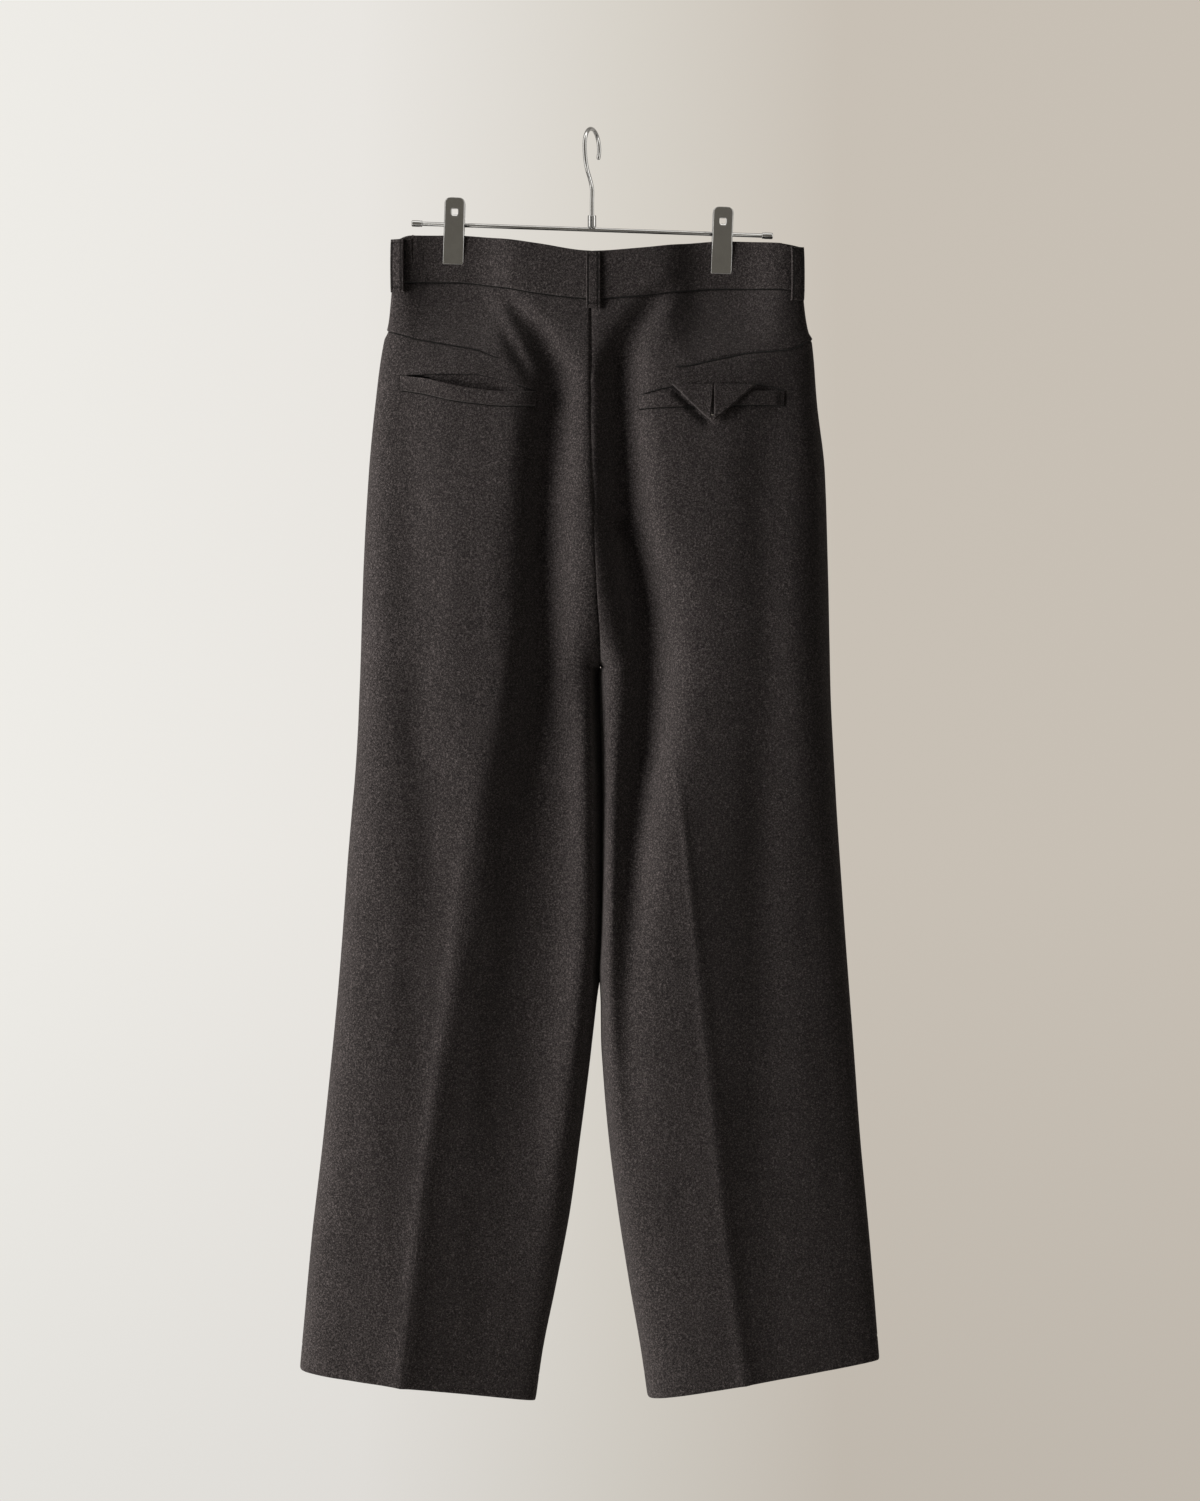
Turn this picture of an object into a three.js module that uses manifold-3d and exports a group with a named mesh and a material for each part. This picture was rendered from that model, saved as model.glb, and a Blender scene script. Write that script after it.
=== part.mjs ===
// Pleated wide-leg trousers, hung by the waistband from a clip hanger and seen from the back.
// Millimetres. The origin is the inner crown of the hook, where it rests on what holds it.
// +Z is up, -Y is the garment's back, +Y its front, and -X the wearer's left side.
import * as THREE from 'three';
import Module from 'manifold-3d';

const wasm = await Module();
wasm.setup();

const LEFT = -1;
const RIGHT = 1;
const BACK = -1;
const FRONT = 1;

// Cloth and sewing
const CLOTH = 1.8;
const BAND_CLOTH = 2.6;
const STRIP_CLOTH = 1.5;
const SEAM_GAP = 0.3;
const BAND_SEAM_GAP = 0.9;

// Heights that drive the cut
const CROTCH_Z = -494;
const MERGE_HEIGHT = 150;
const HEM_Z = -1150;
const BAND_SEAM_Z = -150;
const ROUNDNESS = 3.4;

// Clips: where they pinch the waistband
const CLIP_LEFT_X = -126.5;
const CLIP_RIGHT_X = 120;
const PINCH_HALF_DEPTH = 2.9;
const PINCH_SPREAD = 42;
const PINCH_POWER = 4;
const PINCH_EDGE = 11.5;

// Where the side seams lie at each height
const OUTLINE = [
  { z: -95, left: -181, right: 192 },
  { z: -155, left: -185, right: 195 },
  { z: -186, left: -188, right: 199 },
  { z: -193, left: -191, right: 202 },
  { z: -252, left: -199, right: 207 },
  { z: -316, left: -205, right: 214 },
  { z: -413, left: -210, right: 217 },
  { z: -510, left: -213, right: 219 },
  { z: -574, left: -216, right: 222 },
  { z: -671, left: -224, right: 228 },
  { z: -767, left: -231, right: 235 },
  { z: -832, left: -237, right: 240 },
  { z: -928, left: -247, right: 247 },
  { z: -1025, left: -258, right: 256 },
  { z: -1136, left: -268, right: 265 },
];

// Where the inseams lie at each height, from the crotch down
const INSEAMS = [
  { z: -494, left: 7.8, right: 8.2 },
  { z: -512, left: 7.7, right: 8.7 },
  { z: -545, left: 8.6, right: 9.6 },
  { z: -577, left: 9.8, right: 10.8 },
  { z: -619, left: 10.6, right: 11.6 },
  { z: -666, left: 10.6, right: 11.6 },
  { z: -737, left: 9.2, right: 10.3 },
  { z: -770, left: 7, right: 8.8 },
  { z: -800, left: 4.4, right: 8 },
  { z: -832, left: 0.9, right: 8.2 },
  { z: -864, left: -2.8, right: 10 },
  { z: -928, left: -11, right: 15.6 },
  { z: -993, left: -20, right: 24 },
  { z: -1057, left: -32, right: 34 },
  { z: -1121, left: -45, right: 45 },
  { z: -1166, left: -51.5, right: 51.5 },
];

// The centre seam, from the waist to the crotch
const CENTRE_SEAM = [
  { z: -95, x: 0 },
  { z: -155, x: -1 },
  { z: -247, x: -1 },
  { z: -340, x: 1.4 },
  { z: -385, x: 2.8 },
  { z: -431, x: 5 },
  { z: -468, x: 7.5 },
  { z: -494, x: 8 },
];

// How far the back and the front stand out from the plane of the side seams
const FULLNESS = [
  { z: -95, back: 13, front: 12 },
  { z: -155, back: 18, front: 16 },
  { z: -200, back: 30, front: 26 },
  { z: -250, back: 41, front: 36 },
  { z: -350, back: 54, front: 46 },
  { z: -450, back: 57, front: 48 },
  { z: -494, back: 55, front: 48 },
  { z: -560, back: 50, front: 46 },
  { z: -650, back: 46, front: 43 },
  { z: -800, back: 40, front: 39 },
  { z: -950, back: 36, front: 35 },
  { z: -1150, back: 32, front: 32 },
];

// The pressed creases: their line on each leg, and how far they stand up
const CREASES = [
  { z: -150, left: -78, right: 76, riseLeft: 0, riseRight: 0, front: 0 },
  { z: -300, left: -76, right: 70, riseLeft: 0, riseRight: 0, front: 6 },
  { z: -440, left: -76, right: 66, riseLeft: 0, riseRight: 0, front: 9 },
  { z: -505, left: -80, right: 67, riseLeft: 3, riseRight: 0, front: 11 },
  { z: -579, left: -95, right: 75, riseLeft: 8, riseRight: 3, front: 13 },
  { z: -643, left: -108, right: 83.5, riseLeft: 11, riseRight: 5, front: 14 },
  { z: -706, left: -118, right: 90, riseLeft: 12, riseRight: 6, front: 16 },
  { z: -800, left: -130, right: 100, riseLeft: 13, riseRight: 6, front: 17 },
  { z: -938, left: -150, right: 114, riseLeft: 13, riseRight: 7, front: 17 },
  { z: -1020, left: -159, right: 123, riseLeft: 13, riseRight: 7, front: 17 },
  { z: -1157, left: -175, right: 141, riseLeft: 12, riseRight: 7, front: 16 },
];
const CREASE_REACH = 42;

// How far each leg's back leans: above 0 it stands out more at its outer seam
const SKEW = [
  { z: -150, left: 0, right: 0 },
  { z: -380, left: 0, right: -0.05 },
  { z: -560, left: 0.15, right: -0.2 },
  { z: -700, left: 0.3, right: -0.35 },
  { z: -1000, left: 0.4, right: -0.45 },
  { z: -1150, left: 0.4, right: -0.45 },
];

// Soft folds: the trough's line, how deep it is and how wide; a ridge has a depth below 0
const BACK_FOLDS = [
  [
    { z: -138, x: -92, depth: 0, spread: 8 },
    { z: -153, x: -80, depth: 5, spread: 9 },
    { z: -201, x: -43, depth: 13, spread: 12 },
    { z: -230, x: -33, depth: 18, spread: 13 },
    { z: -340, x: -40, depth: 22, spread: 15 },
    { z: -487, x: -43, depth: 23, spread: 16 },
    { z: -560, x: -46, depth: 20, spread: 19 },
    { z: -615, x: -50, depth: 17, spread: 22 },
    { z: -708, x: -56, depth: 14, spread: 26 },
    { z: -800, x: -62, depth: 12, spread: 28 },
    { z: -891, x: -70, depth: 9, spread: 30 },
    { z: -983, x: -80, depth: 5, spread: 30 },
    { z: -1150, x: -90, depth: 3, spread: 30 },
  ],
  [
    { z: -140, x: 74, depth: 0, spread: 9 },
    { z: -155, x: 58, depth: 5, spread: 10 },
    { z: -199, x: 33, depth: 13, spread: 12 },
    { z: -228, x: 27, depth: 20, spread: 13 },
    { z: -340, x: 31, depth: 25, spread: 15 },
    { z: -450, x: 49, depth: 30, spread: 17 },
    { z: -505, x: 53, depth: 30, spread: 16 },
    { z: -560, x: 51, depth: 27, spread: 15 },
    { z: -615, x: 44, depth: 20, spread: 14 },
    { z: -708, x: 36, depth: 11, spread: 13 },
    { z: -800, x: 32, depth: 6, spread: 12 },
    { z: -891, x: 33, depth: 3, spread: 12 },
    { z: -950, x: 36, depth: 0, spread: 12 },
  ],
  [
    { z: -150, x: -104, depth: 0, spread: 6 },
    { z: -165, x: -93, depth: 4, spread: 5 },
    { z: -215, x: -65, depth: 4, spread: 6 },
    { z: -240, x: -52, depth: 0, spread: 7 },
  ],
  [
    { z: -190, x: -166, depth: 0, spread: 13 },
    { z: -300, x: -166, depth: 4, spread: 14 },
    { z: -420, x: -163, depth: 7, spread: 17 },
    { z: -560, x: -157, depth: 8, spread: 18 },
    { z: -615, x: -147, depth: 7, spread: 20 },
    { z: -708, x: -141, depth: 7, spread: 20 },
    { z: -800, x: -146, depth: 6, spread: 20 },
    { z: -950, x: -158, depth: 4, spread: 20 },
    { z: -1100, x: -170, depth: 0, spread: 20 },
  ],
  [
    { z: -200, x: 172, depth: 0, spread: 13 },
    { z: -320, x: 158, depth: 4, spread: 15 },
    { z: -500, x: 158, depth: 5, spread: 16 },
    { z: -700, x: 156, depth: 5, spread: 17 },
    { z: -900, x: 156, depth: 4, spread: 18 },
    { z: -1100, x: 150, depth: 2, spread: 18 },
  ],
  [
    { z: -500, x: -6, depth: 0, spread: 9 },
    { z: -560, x: -5, depth: -8, spread: 10 },
    { z: -700, x: -4, depth: -12, spread: 12 },
    { z: -800, x: -10, depth: -12, spread: 13 },
    { z: -900, x: -22, depth: -9, spread: 14 },
    { z: -1000, x: -35, depth: -4, spread: 14 },
    { z: -1100, x: -45, depth: 0, spread: 14 },
  ],
  [
    { z: -530, x: 18, depth: 0, spread: 7 },
    { z: -615, x: 18, depth: -8, spread: 7 },
    { z: -708, x: 17, depth: -13, spread: 7 },
    { z: -800, x: 16, depth: -12, spread: 7 },
    { z: -891, x: 20, depth: -5, spread: 8 },
    { z: -960, x: 28, depth: 0, spread: 8 },
  ],
];
const FRONT_FOLDS = [
  [
    { z: -300, x: -52, depth: 0, spread: 15 },
    { z: -430, x: -40, depth: 11, spread: 15 },
    { z: -540, x: -42, depth: 13, spread: 16 },
    { z: -760, x: -46, depth: 0, spread: 17 },
  ],
  [
    { z: -280, x: 48, depth: 0, spread: 15 },
    { z: -430, x: 42, depth: 12, spread: 15 },
    { z: -540, x: 46, depth: 14, spread: 16 },
    { z: -780, x: 44, depth: 0, spread: 17 },
  ],
];

// Front pleats: the first runs into the crease, the second lies towards the side
const PLEAT_SPACING = 32;
const PLEAT_STEP = 3;
const PLEAT_REACH = 11;
const PLEATS = [
  { z: -145, first: 0, second: 0 },
  { z: -158, first: 3, second: 3 },
  { z: -200, first: 7, second: 6 },
  { z: -290, first: 3.5, second: 1.5 },
  { z: -350, first: 0, second: 0 },
];

// The waistband's top edge and its seam, across the garment as it sags between the clips
const WAIST_LINE = [
  { x: -186, top: -103, seam: -141 },
  { x: -170, top: -97, seam: -139.5 },
  { x: -126, top: -96.6, seam: -139.5 },
  { x: -85, top: -100, seam: -144.5 },
  { x: -50, top: -105, seam: -151 },
  { x: 0, top: -112, seam: -156 },
  { x: 46, top: -109, seam: -153 },
  { x: 83, top: -105, seam: -148 },
  { x: 120, top: -102, seam: -145.5 },
  { x: 170, top: -104, seam: -146.5 },
  { x: 196, top: -108, seam: -148 },
];
const FRONT_SAG = 7;
const FRONT_SAG_REACH = 75;

// Hems: the inner end's height and the rise towards the outseam
const HEM_LEFT = { innerZ: -1166.5, innerX: -51.5, rise: 0.141 };
const HEM_RIGHT = { innerZ: -1161.5, innerX: 51.5, rise: 0.151 };

// The heights of the panels' rows, before they are slanted to the waist and the hems
const PANEL_ROWS = [
  -150, -163, -178, -194, -212, -232, -255, -280, -308, -338, -368, -398, -426, -450, -470, -484,
  -494, -503, -516, -536, -565, -602, -645, -695, -750, -810, -870, -930, -990, -1045, -1100, -1150,
];

const clothColour = { color: 0x2e2a2a, roughness: 0.95, metalness: 0 };
const seamColour = { color: 0x262323, roughness: 0.95, metalness: 0 };
const chromeColour = { color: 0xd6d8da, roughness: 0.12, metalness: 1 };

const clamp = (value, low, high) => Math.min(Math.max(value, low), high);
const smooth = (low, high, value) => {
  const t = clamp((value - low) / (high - low), 0, 1);
  return t * t * (3 - 2 * t);
};

// A smooth value of one column of a table, read along its key column from the first row to the last.
function valueAt(table, column, at, key = 'z') {
  const last = table.length - 1;
  const down = table[last][key] < table[0][key] ? -1 : 1;
  if (down * (at - table[0][key]) <= 0) return table[0][column];
  if (down * (at - table[last][key]) >= 0) return table[last][column];
  const i = table.findIndex((row) => down * (row[key] - at) > 0) - 1;
  const slope = (k) => (table[k + 1][column] - table[k][column]) / (table[k + 1][key] - table[k][key]);
  const tangent = (k) => {
    if (k === 0) return slope(0);
    if (k === last) return slope(last - 1);
    const before = slope(k - 1);
    const after = slope(k);
    return before * after <= 0 ? 0 : (2 * before * after) / (before + after);
  };
  const width = table[i + 1][key] - table[i][key];
  const t = (at - table[i][key]) / width;
  const rest = 1 - t;
  return (
    table[i][column] * (1 + 2 * t) * rest * rest +
    tangent(i) * width * t * rest * rest +
    table[i + 1][column] * t * t * (3 - 2 * t) -
    tangent(i + 1) * width * t * t * rest
  );
}

const columnOf = (side) => (side === LEFT ? 'left' : 'right');
const faceOf = (face) => (face === BACK ? 'back' : 'front');
const creaseX = (side, z) => valueAt(CREASES, columnOf(side), z);

// Half of the garment at one height: a half ring cut by the centre plane, or a leg's whole ring.
function halfRing(side, z) {
  const column = columnOf(side);
  const outer = valueAt(OUTLINE, column, z);
  const inner =
    z > CROTCH_Z ? valueAt(CENTRE_SEAM, 'x', z) + (side * SEAM_GAP) / 2 : valueAt(INSEAMS, column, z);
  const start = clamp((z - CROTCH_Z) / MERGE_HEIGHT, 0, 1) - 1;
  const halfWidth = Math.abs(outer - inner) / (1 - start);
  return { side, inner, outer, start, halfWidth, middle: outer - side * halfWidth };
}

const across = (ring, x) => clamp((ring.side * (x - ring.middle)) / ring.halfWidth, -1, 1);
const bulge = (u) => Math.pow(Math.max(1 - Math.pow(Math.abs(u), ROUNDNESS), 0), 1 / ROUNDNESS);
const angleOf = (u) => Math.acos(-Math.sign(u) * Math.pow(Math.abs(u), ROUNDNESS / 2));
function acrossAtAngle(angle) {
  const c = -Math.cos(angle);
  return Math.sign(c) * Math.pow(Math.abs(c), 2 / ROUNDNESS);
}

function pinchAt(x, z) {
  const clipX = x < 0 ? CLIP_LEFT_X : CLIP_RIGHT_X;
  return smooth(-220, -134, z) * Math.exp(-Math.pow((x - clipX) / PINCH_SPREAD, PINCH_POWER));
}

function foldsAt(face, x, z) {
  const troughs = face === BACK ? BACK_FOLDS : FRONT_FOLDS;
  return troughs.reduce((sum, fold) => {
    const offset = (x - valueAt(fold, 'x', z)) / valueAt(fold, 'spread', z);
    return sum + valueAt(fold, 'depth', z) * Math.exp(-0.5 * offset * offset);
  }, 0);
}

function pleatsAt(side, x, z) {
  const step = (pleatX) => {
    const offset = side * (x - pleatX);
    return offset >= 0 ? Math.exp(-offset / PLEAT_REACH) : Math.max(1 + offset / PLEAT_STEP, 0);
  };
  const first = creaseX(side, z);
  return (
    valueAt(PLEATS, 'first', z) * step(first) +
    valueAt(PLEATS, 'second', z) * step(first + side * PLEAT_SPACING)
  );
}

// The outer face of the cloth: how far it lies from the plane of the side seams.
function skinY(face, ring, x, z) {
  const u = across(ring, x);
  const lift = bulge(u);
  const pinch = pinchAt(x, z);
  const softened = Math.sqrt(lift);
  const lean = face === BACK ? 1 + valueAt(SKEW, columnOf(ring.side), z) * u : 1;
  const body = valueAt(FULLNESS, faceOf(face), z) * lift * lean;
  const rise = face === FRONT ? 'front' : ring.side === LEFT ? 'riseLeft' : 'riseRight';
  const pressed = valueAt(CREASES, rise, z);
  const crease = pressed * Math.exp(-Math.abs(x - creaseX(ring.side, z)) / CREASE_REACH);
  const pleats = face === FRONT ? pleatsAt(ring.side, x, z) : 0;
  const shaped = body + (crease + pleats - foldsAt(face, x, z)) * softened;
  const depth = Math.max(shaped * (1 - pinch) + PINCH_HALF_DEPTH * pinch, Math.min(body, 3));
  return face * depth;
}

const frontSag = (x) => FRONT_SAG * Math.exp(-Math.pow(x / FRONT_SAG_REACH, 2));
const waistZ = (face, column, x) =>
  valueAt(WAIST_LINE, column, x, 'x') - (face === FRONT ? frontSag(x) : 0);

// How far a row that is level in the tables is raised at one place to follow the waist and the hem.
function slantAt(face, side, x, z) {
  const hem = side === LEFT ? HEM_LEFT : HEM_RIGHT;
  const atHem = hem.innerZ + hem.rise * Math.max(side * (x - hem.innerX), -20) - HEM_Z;
  const atWaist = waistZ(face, 'seam', x) - BAND_SEAM_GAP - BAND_SEAM_Z;
  return atWaist * smooth(-290, BAND_SEAM_Z, z) + atHem * (1 - smooth(HEM_Z, -620, z));
}

// One point of a panel's outer face, for a row and for an angle round its half ring.
function pointOnRing(face, side, angleAt, rowZ) {
  const level = halfRing(side, rowZ);
  const nearX = level.middle + side * level.halfWidth * acrossAtAngle(angleAt(level, rowZ));
  const z = rowZ + slantAt(face, side, nearX, rowZ);
  const ring = halfRing(side, rowZ > CROTCH_Z ? Math.max(z, CROTCH_Z + 0.01) : Math.min(z, CROTCH_Z));
  const x = ring.middle + side * ring.halfWidth * acrossAtAngle(angleAt(ring, z));
  return new THREE.Vector3(x, skinY(face, ring, x, z), z);
}

// Angles of the columns between stations that are given as places across the garment.
function columnAngles(stationsAt, counts) {
  const angles = [];
  counts.forEach((count, group) => {
    for (let k = 0; k < count; k++) {
      angles.push((ring, z) => {
        const stations = stationsAt(ring, z);
        const from = angleOf(across(ring, stations[group]));
        const to = angleOf(across(ring, stations[group + 1]));
        return from + ((to - from) * k) / count;
      });
    }
  });
  angles.push(() => Math.PI);
  return angles;
}

const stationsOf = {
  [BACK]: (ring, z) => [ring.inner, creaseX(ring.side, z), ring.outer],
  [FRONT]: (ring, z) => {
    const first = creaseX(ring.side, z);
    const second = first + ring.side * PLEAT_SPACING;
    const step = ring.side * PLEAT_STEP;
    return [ring.inner, first - step, first, second - step, second, ring.outer];
  },
};
const COLUMN_COUNTS = { [BACK]: [8, 9], [FRONT]: [6, 1, 3, 1, 6] };

// Unit normals of a grid of points, turned to the side that the sign gives.
function gridNormals(grid, sign) {
  const rows = grid.length;
  const columns = grid[0].length;
  return grid.map((row, j) =>
    row.map((_, i) => {
      const alongRow = new THREE.Vector3().subVectors(
        grid[j][Math.min(i + 1, columns - 1)],
        grid[j][Math.max(i - 1, 0)],
      );
      const alongColumn = new THREE.Vector3().subVectors(
        grid[Math.min(j + 1, rows - 1)][i],
        grid[Math.max(j - 1, 0)][i],
      );
      return new THREE.Vector3().crossVectors(alongRow, alongColumn).normalize().multiplyScalar(sign);
    }),
  );
}

// A closed wall between two grids of points that match one to one.
function wallBetween(outer, inner) {
  const rows = outer.length;
  const columns = outer[0].length;
  const positions = [...outer.flat(), ...inner.flat()].flatMap((p) => [p.x, p.y, p.z]);
  const at = (layer, j, i) => layer * rows * columns + j * columns + i;
  const indices = [];
  const quad = (a, b, c, d) => indices.push(a, b, c, a, c, d);
  for (let j = 0; j < rows - 1; j++) {
    for (let i = 0; i < columns - 1; i++) {
      quad(at(0, j, i), at(0, j + 1, i), at(0, j + 1, i + 1), at(0, j, i + 1));
      quad(at(1, j, i), at(1, j, i + 1), at(1, j + 1, i + 1), at(1, j + 1, i));
    }
    quad(at(0, j, 0), at(1, j, 0), at(1, j + 1, 0), at(0, j + 1, 0));
    const i = columns - 1;
    quad(at(0, j, i), at(0, j + 1, i), at(1, j + 1, i), at(1, j, i));
  }
  for (let i = 0; i < columns - 1; i++) {
    quad(at(0, 0, i), at(0, 0, i + 1), at(1, 0, i + 1), at(1, 0, i));
    const j = rows - 1;
    quad(at(0, j, i), at(1, j, i), at(1, j, i + 1), at(0, j, i + 1));
  }
  const geometry = new THREE.BufferGeometry();
  geometry.setAttribute('position', new THREE.Float32BufferAttribute(positions, 3));
  geometry.setIndex(volumeOf(positions, indices) < 0 ? turnedRound(indices) : indices);
  geometry.computeVertexNormals();
  return geometry;
}

function volumeOf(positions, indices) {
  const corner = (k) => new THREE.Vector3().fromArray(positions, 3 * indices[k]);
  let volume = 0;
  for (let k = 0; k < indices.length; k += 3) {
    volume += corner(k).dot(corner(k + 1).cross(corner(k + 2))) / 6;
  }
  return volume;
}

function turnedRound(indices) {
  const turned = indices.slice();
  for (let k = 0; k < turned.length; k += 3) {
    [turned[k + 1], turned[k + 2]] = [turned[k + 2], turned[k + 1]];
  }
  return turned;
}

const meshOf = (name, geometry, colour) => {
  const mesh = new THREE.Mesh(geometry, new THREE.MeshStandardMaterial(colour));
  mesh.name = name;
  return mesh;
};

// A leg panel: its outer grid, and the wall inside it held clear of the seams' planes.
function panelGrid(face, side) {
  const angles = columnAngles(stationsOf[face], COLUMN_COUNTS[face]);
  const outer = PANEL_ROWS.map((rowZ) => angles.map((angleAt) => pointOnRing(face, side, angleAt, rowZ)));
  const clear = (p) => {
    p.y = face * Math.max(face * p.y, SEAM_GAP / 2);
    if (p.z > CROTCH_Z) {
      const seamX = valueAt(CENTRE_SEAM, 'x', p.z) + (side * SEAM_GAP) / 2;
      if (side * (p.x - seamX) < 0) p.x = seamX;
    }
    return p;
  };
  outer.flat().forEach(clear);
  const normals = gridNormals(outer, side * face);
  const inner = outer.map((row, j) =>
    row.map((p, i) => clear(p.clone().addScaledVector(normals[j][i], -CLOTH))),
  );
  return { outer, normals, inner };
}

const panels = {};
for (const side of [LEFT, RIGHT]) {
  for (const face of [BACK, FRONT]) {
    panels[faceOf(face) + '_' + columnOf(side)] = panelGrid(face, side);
  }
}

// The place on a panel's facets at x and z, moved out along the panel's own normal there.
function onPanel(panel, x, z, out) {
  const { outer, normals } = panel;
  const weigh = (a, b, c) => {
    const area = (b.x - a.x) * (c.z - a.z) - (c.x - a.x) * (b.z - a.z);
    const wb = ((x - a.x) * (c.z - a.z) - (c.x - a.x) * (z - a.z)) / area;
    const wc = ((b.x - a.x) * (z - a.z) - (x - a.x) * (b.z - a.z)) / area;
    return [1 - wb - wc, wb, wc];
  };
  let best = null;
  for (let j = 0; j < outer.length - 1; j++) {
    for (let i = 0; i < outer[0].length - 1; i++) {
      for (const corners of [
        [[j, i], [j + 1, i], [j + 1, i + 1]],
        [[j, i], [j + 1, i + 1], [j, i + 1]],
      ]) {
        const weights = weigh(...corners.map(([r, c]) => outer[r][c]));
        const worst = Math.min(...weights);
        if (!best || worst > best.worst) best = { worst, weights, corners };
      }
    }
  }
  const point = new THREE.Vector3(0, 0, 0);
  const normal = new THREE.Vector3(0, 0, 0);
  best.corners.forEach(([r, c], k) => {
    point.addScaledVector(outer[r][c], best.weights[k]);
    normal.addScaledVector(normals[r][c], best.weights[k]);
  });
  return point.addScaledVector(normal.normalize(), out);
}

// A strip that lies on a panel: a grid of places with the height of its underside over the cloth.
function stripOnPanel(name, panelName, places, thickness, colour = clothColour) {
  const panel = panels[panelName];
  const lower = places.map((row) => row.map(({ x, z, lift = SEAM_GAP }) => onPanel(panel, x, z, lift)));
  const upper = places.map((row) =>
    row.map(({ x, z, lift = SEAM_GAP }) => onPanel(panel, x, z, lift + thickness)),
  );
  return meshOf(name, wallBetween(upper, lower), colour);
}

// The waistband: each half runs from the back seam round the side to the front opening.
const BAND_ROWS = [0, 0.34, 0.67, 1];
const BAND_INNER = [0, 13, 27, 42, 56, 67];
const BAND_PINCH = [-42, -28, -18, -PINCH_EDGE, 0, PINCH_EDGE, 18, 28, 38];
const BAND_TURN_X = 172;
const BAND_TURN = [0.07, 0.2, 0.38, 0.5, 0.62, 0.8, 0.93];
const OVERLAP = 34;
const OVERLAP_JOG = 3;

function bandPoint(face, side, x, rowShare) {
  const z =
    waistZ(face, 'top', x) + rowShare * (waistZ(face, 'seam', x) - waistZ(face, 'top', x));
  const level = halfRing(side, BAND_SEAM_Z);
  const ring = halfRing(side, z);
  const share = across(level, x);
  const held = share > 0.9 ? ring.middle + side * ring.halfWidth * share : x;
  return new THREE.Vector3(held, skinY(face, ring, held, z), z);
}

function bandTurnPoint(side, share, rowShare) {
  const level = halfRing(side, BAND_SEAM_Z);
  const from = angleOf(across(level, side * BAND_TURN_X));
  const angle = from + (2 * Math.PI - 2 * from) * share;
  const face = angle <= Math.PI ? BACK : FRONT;
  return bandPoint(face, side, level.middle + side * level.halfWidth * acrossAtAngle(angle), rowShare);
}

function waistband(side) {
  const centre = valueAt(CENTRE_SEAM, 'x', -130) + (side * SEAM_GAP) / 2;
  const clipX = side === LEFT ? CLIP_LEFT_X : CLIP_RIGHT_X;
  const stations = [
    ...BAND_INNER.map((x) => centre + side * x),
    ...BAND_PINCH.map((x) => clipX + side * x),
    side * BAND_TURN_X,
  ];
  const frontStations = stations.slice().reverse();
  if (side === RIGHT) frontStations[frontStations.length - 1] = centre + OVERLAP_JOG + 1;
  const outer = BAND_ROWS.map((share) => [
    ...stations.map((x) => bandPoint(BACK, side, x, share)),
    ...BAND_TURN.map((turn) => bandTurnPoint(side, turn, share)),
    ...frontStations.map((x) => bandPoint(FRONT, side, x, share)),
  ]);
  const normals = gridNormals(outer, -side);
  const seamSide = (p) => {
    if (side * (p.x - centre) < 0) p.x = centre;
    return p;
  };
  const inner = outer.map((row, j) =>
    row.map((p, i) => seamSide(p.clone().addScaledVector(normals[j][i], -BAND_CLOTH))),
  );
  if (side === LEFT) addOverlap(outer, inner);
  return meshOf('waistband_' + columnOf(side), wallBetween(outer, inner), clothColour);
}

// The left half's front end passes over the right half, where the button closes it.
function addOverlap(outer, inner) {
  const out = BAND_CLOTH + SEAM_GAP;
  for (const x of [OVERLAP_JOG, OVERLAP / 2, OVERLAP]) {
    BAND_ROWS.forEach((share, j) => {
      const on = bandPoint(FRONT, RIGHT, x, share);
      inner[j].push(on.clone().add(new THREE.Vector3(0, SEAM_GAP, 0)));
      outer[j].push(on.clone().add(new THREE.Vector3(0, out, 0)));
    });
  }
}

// A belt loop stands clear of the band between its two sewn ends.
const LOOP_WIDTH = 13;
const LOOP_CLOTH = 2;
const LOOP_DROP = 9.5;
const LOOP_SEAT = 0.8;
const LOOP_ARCH = 5.4;
const SIDE_LOOP_ARCH = 5.8;
const LOOP_ROWS = [0, 0.1, 0.25, 0.5, 0.75, 0.9, 1];

function beltLoop(name, side, face, x, arch) {
  const outer = [];
  const inner = [];
  const topZ = waistZ(face, 'top', x) - 1;
  const endZ = waistZ(face, 'seam', x) - LOOP_DROP;
  for (const rowShare of LOOP_ROWS) {
    const z = topZ + rowShare * (endZ - topZ);
    const ring = halfRing(side, z);
    const point = (at) => new THREE.Vector3(at, skinY(face, ring, at, z), z);
    const tangent = point(x + side).sub(point(x - side)).normalize();
    const normal = new THREE.Vector3(-tangent.y, tangent.x, 0).multiplyScalar(side * face).normalize();
    const lift = LOOP_SEAT + arch * Math.pow(Math.sin(Math.PI * rowShare), 0.5);
    const rowOf = (out) =>
      [-0.5, 0, 0.5].map((w) =>
        point(x)
          .addScaledVector(tangent, w * LOOP_WIDTH)
          .addScaledVector(normal, out),
      );
    inner.push(rowOf(lift));
    outer.push(rowOf(lift + LOOP_CLOTH));
  }
  return meshOf(name, wallBetween(outer, inner), clothColour);
}

// Places of a band that hangs below a top edge: a grid for the strip functions.
function bandPlaces(edge, height, steps, rowShares, liftAt) {
  return rowShares.map((rowShare) => {
    const row = [];
    for (let i = 0; i <= steps; i++) {
      const x = edge[0].x + ((edge[edge.length - 1].x - edge[0].x) * i) / steps;
      const z = valueAt(edge, 'z', x, 'x') - height * rowShare;
      row.push({ x, z, lift: liftAt(x, rowShare) });
    }
    return row;
  });
}

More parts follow.
